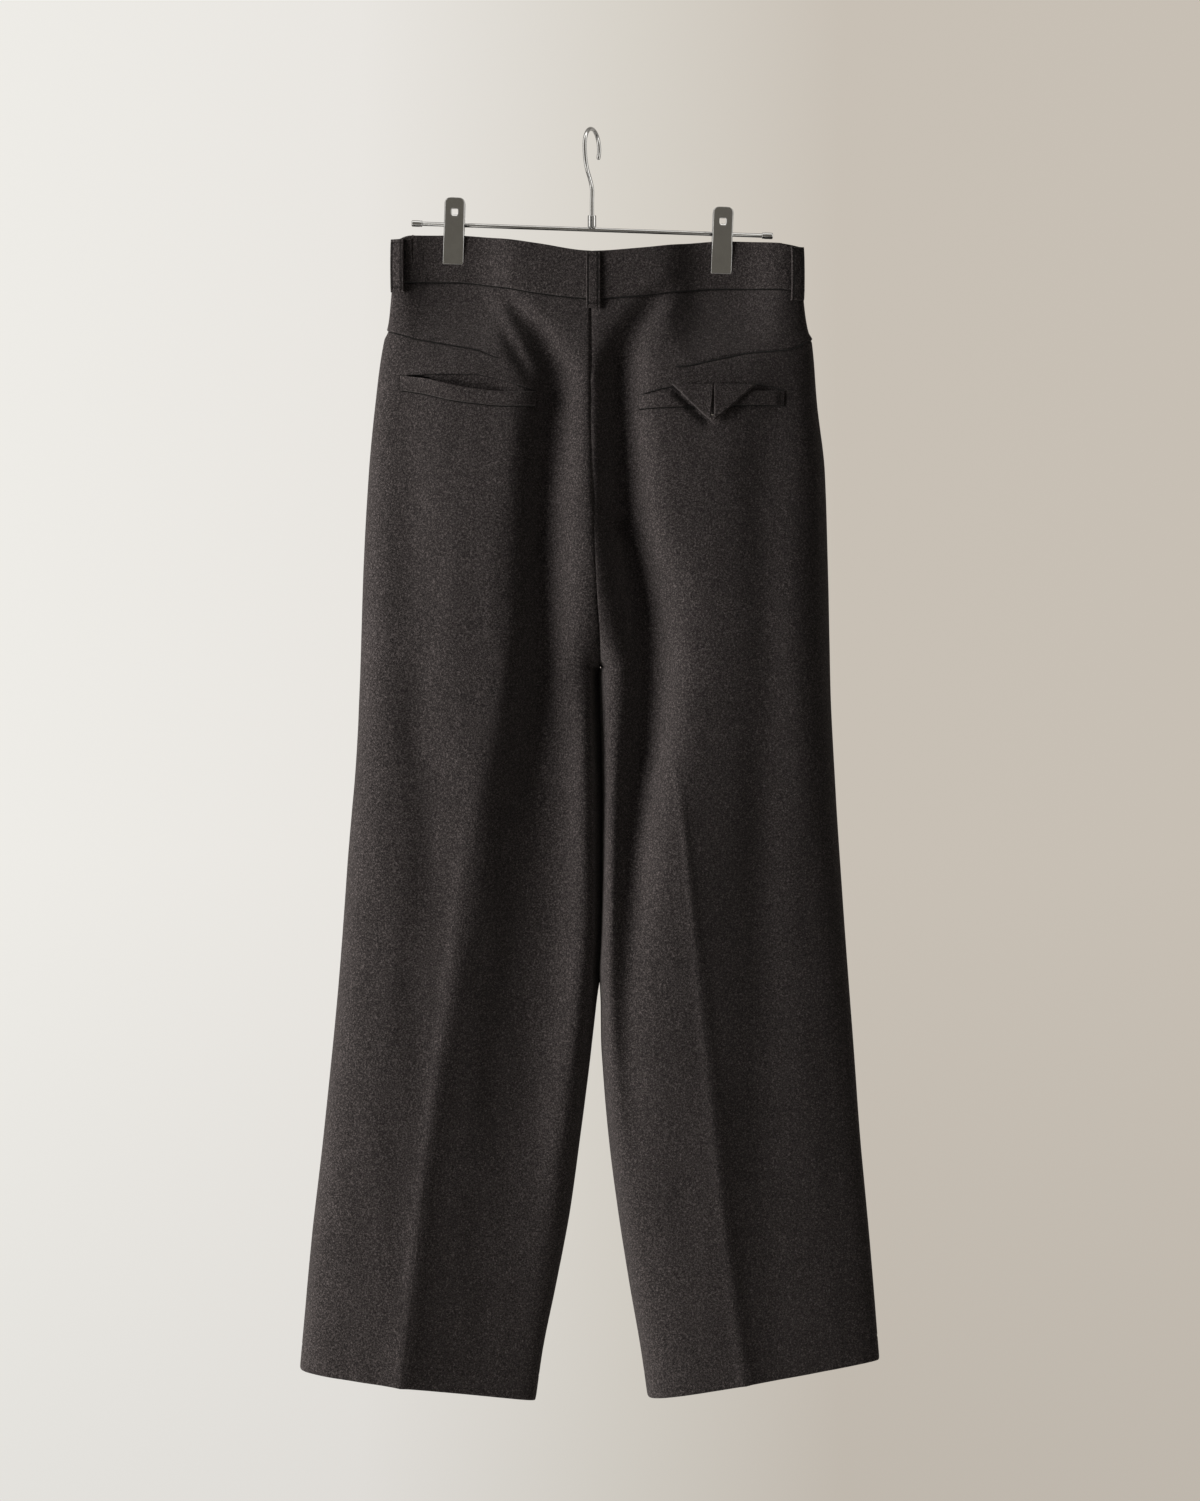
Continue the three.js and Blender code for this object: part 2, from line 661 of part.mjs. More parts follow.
// Left back pocket: the welt's top edge gapes below the lip of the mouth.
const LEFT_WELT_EDGE = [
  { x: -171, z: -229 },
  { x: -150, z: -233 },
  { x: -130, z: -238 },
  { x: -103, z: -242 },
  { x: -78, z: -244 },
  { x: -52, z: -243 },
];
const LEFT_LIP_EDGE = [
  { x: -171, z: -222 },
  { x: -137, z: -221 },
  { x: -114, z: -221.5 },
  { x: -95, z: -224 },
  { x: -74, z: -230 },
  { x: -52, z: -236 },
];
const WELT_HEIGHT = 13;
const LIP_HEIGHT = 5;
const MOUTH_GAPE = 6;
const MOUTH_X = -142;
const MOUTH_REACH = 30;

function leftPocket() {
  const gape = (x, rowShare) =>
    0.6 + MOUTH_GAPE * Math.pow(1 - rowShare, 2) * Math.exp(-Math.pow((x - MOUTH_X) / MOUTH_REACH, 2));
  const flat = () => 0.6;
  return [
    stripOnPanel(
      'welt_left',
      'back_left',
      bandPlaces(LEFT_WELT_EDGE, WELT_HEIGHT, 20, [0, 0.5, 1], gape),
      CLOTH,
    ),
    stripOnPanel(
      'pocket_lip_left',
      'back_left',
      bandPlaces(LEFT_LIP_EDGE, LIP_HEIGHT, 20, [0, 1], flat),
      1,
    ),
  ];
}

// Right back pocket: a closed welt under a flap whose two corners are folded to one point.
const RIGHT_WELT_EDGE = [
  { x: 45, z: -246 },
  { x: 75, z: -245 },
  { x: 110, z: -243.5 },
  { x: 145, z: -242.5 },
  { x: 175.5, z: -242.5 },
];
const FLAP_TOP_Z = -238;
const FLAP_POINT = { x: 109, z: -272 };
const FLAP_HALF_WIDTH = 37.5;
const FLAP_CENTRE_X = 110.5;
const FLAP_CLOTH = 2.2;

function flapHalf(name, side) {
  const rows = [];
  const steps = 6;
  for (let j = 0; j <= steps; j++) {
    const t = j / steps;
    const z = FLAP_TOP_Z + (FLAP_POINT.z - FLAP_TOP_Z) * t;
    const slitX = FLAP_CENTRE_X + (FLAP_POINT.x - FLAP_CENTRE_X) * t + side * 0.35;
    const edgeX = slitX + side * Math.max(FLAP_HALF_WIDTH * (1 - t), 1.2);
    const row = [];
    for (let i = 0; i <= 5; i++) {
      row.push({ x: slitX + ((edgeX - slitX) * i) / 5, z, lift: CLOTH + 1.1 });
    }
    rows.push(row);
  }
  return stripOnPanel(name, 'back_right', rows, FLAP_CLOTH);
}

function rightPocket() {
  return [
    stripOnPanel(
      'welt_right',
      'back_right',
      bandPlaces(RIGHT_WELT_EDGE, WELT_HEIGHT, 20, [0, 0.5, 1], () => 0.6),
      CLOTH,
    ),
    flapHalf('flap_right_inner', LEFT),
    flapHalf('flap_right_outer', RIGHT),
  ];
}

// Slant side pockets on the front: the bound edge of each opening.
const SIDE_POCKET_TOP = { x: 158, z: -166 };
const SIDE_POCKET_END = { x: 188, z: -318 };
const SIDE_POCKET_EDGE = 9;

function sidePocket(side) {
  const steps = 12;
  const rows = [];
  for (let j = 0; j <= steps; j++) {
    const t = j / steps;
    const x = SIDE_POCKET_TOP.x + (SIDE_POCKET_END.x - SIDE_POCKET_TOP.x) * t;
    const z = SIDE_POCKET_TOP.z + (SIDE_POCKET_END.z - SIDE_POCKET_TOP.z) * t;
    rows.push([0, 0.5, 1].map((w) => ({ x: side * (x - SIDE_POCKET_EDGE * w), z, lift: 0.9 })));
  }
  const name = columnOf(side);
  return stripOnPanel('pocket_edge_' + name, 'front_' + name, rows, STRIP_CLOTH);
}

// The fly: a placket over the centre front, the zip behind it, its slider, and the waist button.
const FLY_END_Z = -338;
const FLY_WIDTH = 36;
const FLY_CURVE = 46;

function flyPlacket() {
  const steps = 14;
  const rows = [];
  const topZ = waistZ(FRONT, 'seam', -10) - 1;
  for (let j = 0; j <= steps; j++) {
    const t = j / steps;
    const z = topZ + (FLY_END_Z - topZ) * t;
    const intoCurve = clamp((FLY_END_Z + FLY_CURVE - z) / FLY_CURVE, 0, 1);
    const width = Math.max(FLY_WIDTH * Math.sqrt(1 - intoCurve * intoCurve), 2.5);
    const seamX = valueAt(CENTRE_SEAM, 'x', z) - 0.6;
    rows.push([0, 0.33, 0.66, 1].map((w) => ({ x: seamX - width * w, z, lift: 0.6 })));
  }
  return stripOnPanel('fly_placket', 'front_left', rows, STRIP_CLOTH);
}

const ZIP_HALF_WIDTH = 12;
const ZIP_CLOTH = 1.2;
const ZIP_BACKSET = CLOTH + 1.1;

function zipPoint(x, z, back) {
  const side = x < valueAt(CENTRE_SEAM, 'x', z) ? LEFT : RIGHT;
  const point = onPanel(panels['front_' + columnOf(side)], x, z, 0);
  return point.add(new THREE.Vector3(0, -back, 0));
}

function flyZip() {
  const steps = 10;
  const outer = [];
  const inner = [];
  const topZ = waistZ(FRONT, 'seam', 0) - 4;
  for (let j = 0; j <= steps; j++) {
    const z = topZ + ((FLY_END_Z + 16 - topZ) * j) / steps;
    const seamX = valueAt(CENTRE_SEAM, 'x', z);
    const across = [-1, -0.1, 0.1, 1].map((w) => seamX + w * ZIP_HALF_WIDTH);
    outer.push(across.map((x) => zipPoint(x, z, ZIP_BACKSET)));
    inner.push(across.map((x) => zipPoint(x, z, ZIP_BACKSET + ZIP_CLOTH)));
  }
  return meshOf('fly_zip', wallBetween(outer, inner), seamColour);
}

function zipSlider() {
  const z = waistZ(FRONT, 'seam', 0) - 14;
  const shape = new THREE.Shape();
  shape.moveTo(-3, 0);
  shape.lineTo(3, 0);
  shape.lineTo(3, -8);
  shape.lineTo(2, -22);
  shape.absarc(0, -24, 2, 0, -Math.PI, true);
  shape.lineTo(-3, -8);
  shape.closePath();
  const geometry = new THREE.ExtrudeGeometry(shape, { depth: 1.4, bevelEnabled: false });
  geometry.rotateX(Math.PI / 2);
  const seat = zipPoint(valueAt(CENTRE_SEAM, 'x', z), z, ZIP_BACKSET + ZIP_CLOTH + 0.5);
  const mesh = meshOf('zip_slider', geometry, chromeColour);
  mesh.position.copy(seat);
  return mesh;
}

const BUTTON_RADIUS = 8;
const BUTTON_X = 17;

function waistButton() {
  const profile = [
    new THREE.Vector2(0, 0),
    new THREE.Vector2(BUTTON_RADIUS - 0.8, 0),
    new THREE.Vector2(BUTTON_RADIUS, 0.9),
    new THREE.Vector2(BUTTON_RADIUS, 2.2),
    new THREE.Vector2(BUTTON_RADIUS - 1.2, 3),
    new THREE.Vector2(BUTTON_RADIUS - 2.4, 2.4),
    new THREE.Vector2(0, 2.4),
  ];
  const mesh = meshOf('waist_button', new THREE.LatheGeometry(profile, 18), seamColour);
  const on = bandPoint(FRONT, RIGHT, BUTTON_X, 0.5);
  mesh.position.set(on.x, on.y + BAND_CLOTH + 2 * SEAM_GAP + 0.6, on.z);
  return mesh;
}

// The hanger
const BAR_LEFT = new THREE.Vector3(-166, 0, -85);
const BAR_RIGHT = new THREE.Vector3(166.5, 0, -96.6);
const BAR_RADIUS = 2;
const CAP_LENGTH = 10;
const CAP_RADIUS = 3;
const FERRULE_RADIUS = 4;
const FERRULE_TOP = -77.7;
const WIRE_RADIUS = 1.9;
const HOOK_RADIUS = 17;
const HOOK_TURN = THREE.MathUtils.degToRad(23);
const HOOK_TIP_ANGLE = THREE.MathUtils.degToRad(205);
const STEM_END_Z = -53;

const barDirection = new THREE.Vector3().subVectors(BAR_RIGHT, BAR_LEFT).normalize();
const barZ = (x) => BAR_LEFT.z + ((x - BAR_LEFT.x) * barDirection.z) / barDirection.x;
const barTilt = Math.atan2(barDirection.z, barDirection.x);

// A solid of revolution whose axis lies along the bar, from the bar's left end.
function alongBar(name, profile, fromLeft, segments = 16) {
  const geometry = new THREE.LatheGeometry(profile.map(([r, s]) => new THREE.Vector2(r, s)), segments);
  const mesh = meshOf(name, geometry, chromeColour);
  mesh.quaternion.setFromUnitVectors(new THREE.Vector3(0, 1, 0), barDirection);
  mesh.position.copy(BAR_LEFT).addScaledVector(barDirection, fromLeft);
  return mesh;
}

function bar() {
  const length = BAR_LEFT.distanceTo(BAR_RIGHT);
  const rod = [
    [0, 0],
    [BAR_RADIUS, 0],
    [BAR_RADIUS, length - 2 * (CAP_LENGTH + SEAM_GAP)],
    [0, length - 2 * (CAP_LENGTH + SEAM_GAP)],
  ];
  const cap = [
    [0, 0],
    [CAP_RADIUS - 0.8, 0],
    [CAP_RADIUS, 0.8],
    [CAP_RADIUS, CAP_LENGTH - 0.8],
    [CAP_RADIUS - 0.8, CAP_LENGTH],
    [0, CAP_LENGTH],
  ];
  return [
    alongBar('hanger_bar', rod, CAP_LENGTH + SEAM_GAP),
    alongBar('bar_cap_left', cap, 0),
    alongBar('bar_cap_right', cap, length - CAP_LENGTH),
  ];
}

function ferrule() {
  const height = FERRULE_TOP - (barZ(0) + BAR_RADIUS + SEAM_GAP);
  const profile = [
    [0, 0],
    [FERRULE_RADIUS - 0.6, 0],
    [FERRULE_RADIUS, 0.6],
    [FERRULE_RADIUS, height - 0.8],
    [FERRULE_RADIUS - 0.8, height],
    [0, height],
  ].map(([r, s]) => new THREE.Vector2(r, s));
  const mesh = meshOf('ferrule', new THREE.LatheGeometry(profile, 20), chromeColour);
  mesh.rotation.x = Math.PI / 2;
  mesh.position.set(0, 0, FERRULE_TOP - height);
  return mesh;
}

// The hook's wire: up the stem, out towards the viewer, over the top and down behind.
function hook() {
  const centreZ = WIRE_RADIUS - HOOK_RADIUS;
  const inPlane = (reach, z) =>
    new THREE.Vector3(-reach * Math.sin(HOOK_TURN), -reach * Math.cos(HOOK_TURN), z);
  const points = [
    inPlane(0, FERRULE_TOP + SEAM_GAP),
    inPlane(0, (FERRULE_TOP + STEM_END_Z) / 2),
    inPlane(0, STEM_END_Z),
    inPlane(4.6, -45),
    inPlane(11.5, -36.5),
    inPlane(15.6, -27),
  ];
  const arcSteps = 9;
  for (let k = 0; k <= arcSteps; k++) {
    const angle = (HOOK_TIP_ANGLE * k) / arcSteps;
    points.push(inPlane(HOOK_RADIUS * Math.cos(angle), centreZ + HOOK_RADIUS * Math.sin(angle)));
  }
  const section = new THREE.Shape();
  section.absarc(0, 0, WIRE_RADIUS, 0, 2 * Math.PI, false);
  const geometry = new THREE.ExtrudeGeometry(section, {
    steps: 40,
    curveSegments: 5,
    bevelEnabled: false,
    extrudePath: new THREE.CatmullRomCurve3(points, false, 'centripetal'),
  });
  return meshOf('hook', geometry, chromeColour);
}

// Clip plates: a rounded strip with a punched window and two flanges above the cloth.
const PLATE = { width: 19, above: 24, below: 37, metal: 1.2, window: 6, windowTall: 5, windowDrop: 13 };
const FLANGE = { depth: 2, top: 16, bottom: -7 };
const PLATE_CLEARANCE = 0.35;
const PLATE_SPREAD = THREE.MathUtils.degToRad(5);

function solidOf(geometry) {
  const bare = geometry.index ? geometry.toNonIndexed() : geometry;
  const source = bare.getAttribute('position');
  const seen = new Map();
  const vertices = [];
  const corners = [];
  for (let k = 0; k < source.count; k++) {
    const p = [source.getX(k), source.getY(k), source.getZ(k)];
    const key = p.map((v) => Math.round(v * 1e4)).join();
    if (!seen.has(key)) {
      seen.set(key, vertices.length / 3);
      vertices.push(...p);
    }
    corners.push(seen.get(key));
  }
  const mesh = { numProp: 3, vertProperties: new Float32Array(vertices), triVerts: new Uint32Array(corners) };
  return new wasm.Manifold(new wasm.Mesh(mesh));
}

function geometryOf(solid) {
  const mesh = solid.getMesh();
  const geometry = new THREE.BufferGeometry();
  geometry.setAttribute('position', new THREE.BufferAttribute(Float32Array.from(mesh.vertProperties), 3));
  geometry.setIndex(Array.from(mesh.triVerts));
  geometry.computeVertexNormals();
  return geometry;
}

function plateGeometry() {
  const half = PLATE.width / 2;
  const corner = 5;
  const shape = new THREE.Shape();
  shape.moveTo(-half, -PLATE.below);
  shape.lineTo(half, -PLATE.below);
  shape.lineTo(half, PLATE.above - corner);
  shape.absarc(half - corner, PLATE.above - corner, corner, 0, Math.PI / 2, false);
  shape.lineTo(-half + corner, PLATE.above);
  shape.absarc(-half + corner, PLATE.above - corner, corner, Math.PI / 2, Math.PI, false);
  shape.closePath();
  const hole = new THREE.Path();
  const holeTop = PLATE.above - PLATE.windowDrop + PLATE.windowTall / 2;
  hole.moveTo(-PLATE.window / 2, holeTop);
  hole.lineTo(PLATE.window / 2, holeTop);
  hole.lineTo(PLATE.window / 2, holeTop - PLATE.windowTall);
  hole.lineTo(-PLATE.window / 2, holeTop - PLATE.windowTall);
  hole.closePath();
  shape.holes.push(hole);
  const sheet = new THREE.ExtrudeGeometry(shape, {
    depth: PLATE.metal,
    bevelEnabled: false,
    curveSegments: 5,
  });
  const flange = (at) => {
    const tall = FLANGE.top - FLANGE.bottom;
    const box = new THREE.BoxGeometry(PLATE.metal, tall, FLANGE.depth + 0.4);
    box.translate(at, (FLANGE.top + FLANGE.bottom) / 2, -FLANGE.depth / 2 + 0.2);
    return box;
  };
  const edge = half - PLATE.metal / 2;
  return geometryOf(solidOf(sheet).add(solidOf(flange(edge))).add(solidOf(flange(-edge))));
}

function clip(side) {
  const x = side === LEFT ? CLIP_LEFT_X : CLIP_RIGHT_X;
  const group = new THREE.Group();
  group.position.set(x, 0, barZ(x));
  group.rotation.y = -barTilt;
  for (const face of [BACK, FRONT]) {
    const plate = meshOf('clip_' + columnOf(side) + '_' + faceOf(face), plateGeometry(), chromeColour);
    const holder = new THREE.Group();
    holder.position.set(0, face * (PINCH_HALF_DEPTH + PLATE_CLEARANCE), -PLATE.below);
    holder.rotation.z = face === FRONT ? Math.PI : 0;
    plate.rotation.x = Math.PI / 2 + PLATE_SPREAD;
    plate.position.set(0, -PLATE.below * Math.sin(PLATE_SPREAD), PLATE.below * Math.cos(PLATE_SPREAD));
    holder.add(plate);
    group.add(holder);
  }
  return group;
}

// The spring is wound round the bar and bears on the two plates.
function clipSpring(side) {
  const x = side === LEFT ? CLIP_LEFT_X : CLIP_RIGHT_X;
  const plateAway = PINCH_HALF_DEPTH + PLATE_CLEARANCE + PLATE.below * Math.tan(PLATE_SPREAD);
  const inner = BAR_RADIUS + SEAM_GAP;
  const outer = plateAway * Math.cos(PLATE_SPREAD) - SEAM_GAP;
  const half = 6;
  const profile = [
    [inner, -half],
    [outer, -half],
    [outer, half],
    [inner, half],
    [inner, -half],
  ];
  const fromLeft = (x - BAR_LEFT.x) / barDirection.x;
  return alongBar('clip_spring_' + columnOf(side), profile, fromLeft, 12);
}

const trousers = new THREE.Group();
for (const [name, { outer, inner }] of Object.entries(panels)) {
  trousers.add(meshOf(name, wallBetween(outer, inner), clothColour));
}
for (const side of [LEFT, RIGHT]) trousers.add(waistband(side), sidePocket(side));
trousers.add(
  beltLoop('loop_back', RIGHT, BACK, 1.2, LOOP_ARCH),
  beltLoop('loop_side_left', LEFT, BACK, -178, SIDE_LOOP_ARCH),
  beltLoop('loop_side_right', RIGHT, BACK, 188, SIDE_LOOP_ARCH),
  beltLoop('loop_front_left', LEFT, FRONT, -66, LOOP_ARCH),
  beltLoop('loop_front_right', RIGHT, FRONT, 66, LOOP_ARCH),
);
trousers.add(...leftPocket(), ...rightPocket());
trousers.add(flyPlacket(), flyZip(), zipSlider(), waistButton());

const hanger = new THREE.Group();
hanger.add(...bar(), ferrule(), hook());
for (const side of [LEFT, RIGHT]) hanger.add(clip(side), clipSpring(side));

const part = new THREE.Group();
part.add(trousers, hanger);

export default part;
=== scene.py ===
"""Pleated wide-leg trousers on a clip hanger: the fine cloth shells, the sewing and the chrome.

Sizes in the tables are millimetres in the part's own frame, and MM turns them into metres.
"""

import math

import bmesh
import bpy
import numpy as np
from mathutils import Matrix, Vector


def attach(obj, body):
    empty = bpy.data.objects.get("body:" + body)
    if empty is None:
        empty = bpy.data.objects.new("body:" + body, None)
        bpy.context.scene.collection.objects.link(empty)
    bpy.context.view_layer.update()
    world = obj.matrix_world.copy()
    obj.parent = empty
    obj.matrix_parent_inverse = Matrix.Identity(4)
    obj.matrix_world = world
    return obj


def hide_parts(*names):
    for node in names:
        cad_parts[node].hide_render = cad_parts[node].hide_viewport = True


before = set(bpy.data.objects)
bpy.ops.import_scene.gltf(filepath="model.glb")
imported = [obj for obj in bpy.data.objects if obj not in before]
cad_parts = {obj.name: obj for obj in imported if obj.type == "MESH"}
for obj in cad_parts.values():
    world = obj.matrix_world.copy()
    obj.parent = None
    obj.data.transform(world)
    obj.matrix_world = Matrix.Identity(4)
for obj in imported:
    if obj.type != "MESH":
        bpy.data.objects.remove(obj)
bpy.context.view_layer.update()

MM = 0.001
LEFT, RIGHT = -1, 1
BACK, FRONT = -1, 1
BODY = "root"

# Cloth and sewing
CLOTH = 1.8
BAND_CLOTH = 2.6
HEM_CLOTH = 3.2
HEM_DEPTH = 40.0
SEAM_GAP = 0.1
STITCH_GROOVE = {"depth": 0.5, "width": 0.6}

# Heights and places that drive the cut
CROTCH_Z = -494.0
MERGE_HEIGHT = 150.0
HEM_Z = -1150.0
BAND_SEAM_Z = -150.0
ROUNDNESS = 3.4
CLIP_X = {LEFT: -126.5, RIGHT: 120.0}
PINCH_HALF_DEPTH = 2.9
PINCH_SPREAD = 42.0
PINCH_POWER = 4
PINCH_HEIGHTS = (-220.0, -134.0)
CREASE_REACH = 42.0
TOUCH = 2.2
TOUCH_SLANT = 0.25
LEGS_PART = (-805.0, -765.0)
TOUCH_END_Z = -850.0
LEAST_DEPTH = 3.0


def table(columns, *rows):
    """A table of named columns whose first column is the key, sorted by it."""
    values = np.array(sorted(rows), dtype=float)
    return {name: values[:, i] for i, name in enumerate(columns.split())}


def fold(*rows):
    """A fold's line, depth and spread at each height."""
    return table("z x depth spread", *rows)


OUTLINE = table(
    "z left right",
    (-95, -181, 192),
    (-155, -185, 195),
    (-186, -188, 199),
    (-193, -191, 202),
    (-252, -199, 207),
    (-316, -205, 214),
    (-413, -210, 217),
    (-510, -213, 219),
    (-574, -216, 222),
    (-671, -224, 228),
    (-767, -231, 235),
    (-832, -237, 240),
    (-928, -247, 247),
    (-1025, -258, 256),
    (-1136, -268, 265),
)
INSEAMS = table(
    "z left right",
    (-494, 7.8, 8.2),
    (-512, 7.7, 8.7),
    (-545, 8.6, 9.6),
    (-577, 9.8, 10.8),
    (-619, 10.6, 11.6),
    (-666, 10.6, 11.6),
    (-737, 9.2, 10.3),
    (-770, 7, 8.8),
    (-800, 4.4, 8),
    (-832, 0.9, 8.2),
    (-864, -2.8, 10),
    (-928, -11, 15.6),
    (-993, -20, 24),
    (-1057, -32, 34),
    (-1121, -45, 45),
    (-1166, -51.5, 51.5),
)
CENTRE_SEAM = table(
    "z x",
    (-95, 0),
    (-155, -1),
    (-247, -1),
    (-340, 1.4),
    (-385, 2.8),
    (-431, 5),
    (-468, 7.5),
    (-494, 8),
)
FULLNESS = table(
    "z back front",
    (-95, 13, 12),
    (-155, 18, 16),
    (-200, 30, 26),
    (-250, 41, 36),
    (-350, 54, 46),
    (-450, 57, 48),
    (-494, 55, 48),
    (-560, 50, 46),
    (-650, 46, 43),
    (-800, 40, 39),
    (-950, 36, 35),
    (-1150, 32, 32),
)
CREASES = table(
    "z left right rise_left rise_right front",
    (-150, -78, 76, 0, 0, 0),
    (-300, -76, 70, 0, 0, 6),
    (-440, -76, 66, 0, 0, 9),
    (-505, -80, 67, 3, 0, 11),
    (-579, -95, 75, 8, 3, 13),
    (-643, -108, 83.5, 11, 5, 14),
    (-706, -118, 90, 12, 6, 16),
    (-800, -130, 100, 13, 6, 17),
    (-938, -150, 114, 13, 7, 17),
    (-1020, -159, 123, 13, 7, 17),
    (-1157, -175, 141, 12, 7, 16),
)
SKEW = table(
    "z left right",
    (-150, 0, 0),
    (-380, 0, -0.05),
    (-560, 0.15, -0.2),
    (-700, 0.3, -0.35),
    (-1000, 0.4, -0.45),
    (-1150, 0.4, -0.45),
)
BACK_FOLDS = [
    fold(
        (-138, -92, 0, 8),
        (-153, -80, 5, 9),
        (-201, -43, 13, 12),
        (-230, -33, 18, 13),
        (-340, -40, 22, 15),
        (-487, -43, 23, 16),
        (-560, -46, 20, 19),
        (-615, -50, 17, 22),
        (-708, -56, 14, 26),
        (-800, -62, 12, 28),
        (-891, -70, 9, 30),
        (-983, -80, 5, 30),
        (-1150, -90, 3, 30),
    ),
    fold(
        (-140, 74, 0, 9),
        (-155, 58, 5, 10),
        (-199, 33, 13, 12),
        (-228, 27, 20, 13),
        (-340, 31, 25, 15),
        (-450, 49, 30, 17),
        (-505, 53, 30, 16),
        (-560, 50, 30, 15),
        (-615, 43, 25, 14),
        (-708, 36, 15, 13),
        (-800, 32, 6, 12),
        (-891, 33, 3, 12),
        (-950, 36, 0, 12),
    ),
    fold(
        (-150, -104, 0, 6),
        (-165, -93, 4, 5),
        (-215, -65, 4, 6),
        (-240, -52, 0, 7),
    ),
    fold(
        (-190, -166, 0, 13),
        (-300, -166, 4, 14),
        (-420, -163, 7, 17),
        (-560, -157, 8, 18),
        (-615, -147, 7, 20),
        (-708, -141, 7, 20),
        (-800, -146, 6, 20),
        (-950, -158, 4, 20),
        (-1100, -170, 0, 20),
    ),
    fold(
        (-200, 172, 0, 13),
        (-320, 158, 4, 15),
        (-500, 158, 5, 16),
        (-700, 156, 5, 17),
        (-900, 156, 4, 18),
        (-1100, 150, 2, 18),
    ),
    fold(
        (-500, -6, 0, 9),
        (-560, -5, -10, 10),
        (-700, -4, -15, 12),
        (-800, -10, -15, 13),
        (-900, -22, -11, 14),
        (-1000, -35, -4, 14),
        (-1100, -45, 0, 14),
    ),
    fold(
        (-530, 18, 0, 7),
        (-615, 18, -5, 7),
        (-708, 17, -8, 7),
        (-800, 16, -8, 7),
        (-891, 20, -4, 8),
        (-960, 28, 0, 8),
    ),
]
FRONT_FOLDS = [
    fold(
        (-300, -52, 0, 15),
        (-430, -40, 11, 15),
        (-540, -42, 13, 16),
        (-760, -46, 0, 17),
    ),
    fold(
        (-280, 48, 0, 15),
        (-430, 42, 12, 15),
        (-540, 46, 14, 16),
        (-780, 44, 0, 17),
    ),
]
FOLDS = {BACK: BACK_FOLDS, FRONT: FRONT_FOLDS}
PLEATS = table(
    "z first second",
    (-145, 0, 0),
    (-158, 3, 3),
    (-200, 7, 6),
    (-290, 3.5, 1.5),
    (-350, 0, 0),
)
PLEAT_SPACING = 32.0
PLEAT_STEP = 3.0
PLEAT_REACH = 11.0
WAIST_LINE = table(
    "x top seam",
    (-186, -103, -141),
    (-170, -97, -139.5),
    (-126, -96.6, -139.5),
    (-85, -100, -144.5),
    (-50, -105, -151),
    (0, -112, -156),
    (46, -109, -153),
    (83, -105, -148),
    (120, -102, -145.5),
    (170, -104, -146.5),
    (196, -108, -148),
)
DART_LEVEL = -202.0
LEFT_DART = table(
    "x z",
    (-205, -182),
    (-188, -186),
    (-172, -190.5),
    (-158, -194.5),
    (-130, -199.5),
    (-103, -205),
    (-85, -212),
    (0, -214),
)
RIGHT_DART = table(
    "x z",
    (0, -222),
    (76, -221),
    (112, -214),
    (140, -208),
    (183, -203),
    (198, -195),
    (215, -190),
)
DART_LINES = {LEFT: LEFT_DART, RIGHT: RIGHT_DART}
DART_ENDS = {LEFT: -88.0, RIGHT: 79.0}
SLANT_END_Z = {BACK: -300.0, FRONT: -290.0}
HEM_SLANT_TOP_Z = -620.0
HEM_CORNER_REACH = 20.0
HEM_FLAT_WIDTH = 213.0
FRONT_SAG = 7.0
FRONT_SAG_REACH = 75.0
HEMS = {
    LEFT: {"inner_z": -1166.5, "inner_x": -51.5, "rise": 0.141},
    RIGHT: {"inner_z": -1161.5, "inner_x": 51.5, "rise": 0.151},
}
SIDE_NAME = {LEFT: "left", RIGHT: "right"}
FACE_NAME = {BACK: "back", FRONT: "front"}


def smooth(low, high, value):
    t = np.clip((value - low) / (high - low), 0.0, 1.0)
    return t * t * (3 - 2 * t)


def groove(distance, depth, width):
    """A rounded groove along a line."""
    return depth * np.exp(-((distance / width) ** 2))


def unit(vectors):
    return vectors / np.linalg.norm(vectors, axis=-1, keepdims=True)


def dip(distance, depth, reach):
    """A fall at an edge that fades with the distance from it."""
    return depth * np.exp(-distance / reach)


def value_at(rows, column, at):
    """A smooth value of one column at each key, held level past the table's ends."""
    keys = next(iter(rows.values()))
    values = rows[column]
    slopes = np.diff(values) / np.diff(keys)
    tangents = np.empty(len(keys))
    tangents[0], tangents[-1] = slopes[0], slopes[-1]
    before, after = slopes[:-1], slopes[1:]
    total = np.where(before + after == 0, 1.0, before + after)
    tangents[1:-1] = np.where(before * after <= 0, 0.0, 2 * before * after / total)
    at = np.clip(np.asarray(at, dtype=float), keys[0], keys[-1])
    i = np.clip(np.searchsorted(keys, at, side="right") - 1, 0, len(keys) - 2)
    width = keys[i + 1] - keys[i]
    t = (at - keys[i]) / width
    rest = 1 - t
    return (
        values[i] * (1 + 2 * t) * rest * rest
        + tangents[i] * width * t * rest * rest
        + values[i + 1] * t * t * (3 - 2 * t)
        - tangents[i + 1] * width * t * t * rest
    )


def crease_x(side, z):
    return value_at(CREASES, SIDE_NAME[side], z)


def touch_at(z):
    """How far each leg would reach past the plane where the two legs press together."""
    return TOUCH * smooth(CROTCH_Z, CROTCH_Z - 2, z) * smooth(*LEGS_PART, z)


def pressed_apart(side, points, clearance):
    """Points of a leg held on its own side of the slanting plane where the legs touch."""
    z = points[..., 2]
    middle = (value_at(INSEAMS, "left", z) + value_at(INSEAMS, "right", z)) / 2
    limit = middle + TOUCH_SLANT * points[..., 1] + side * clearance
    crossing = (z <= CROTCH_Z) & (z > TOUCH_END_Z) & (side * (points[..., 0] - limit) < 0)
    points[..., 0] = np.where(crossing, limit, points[..., 0])


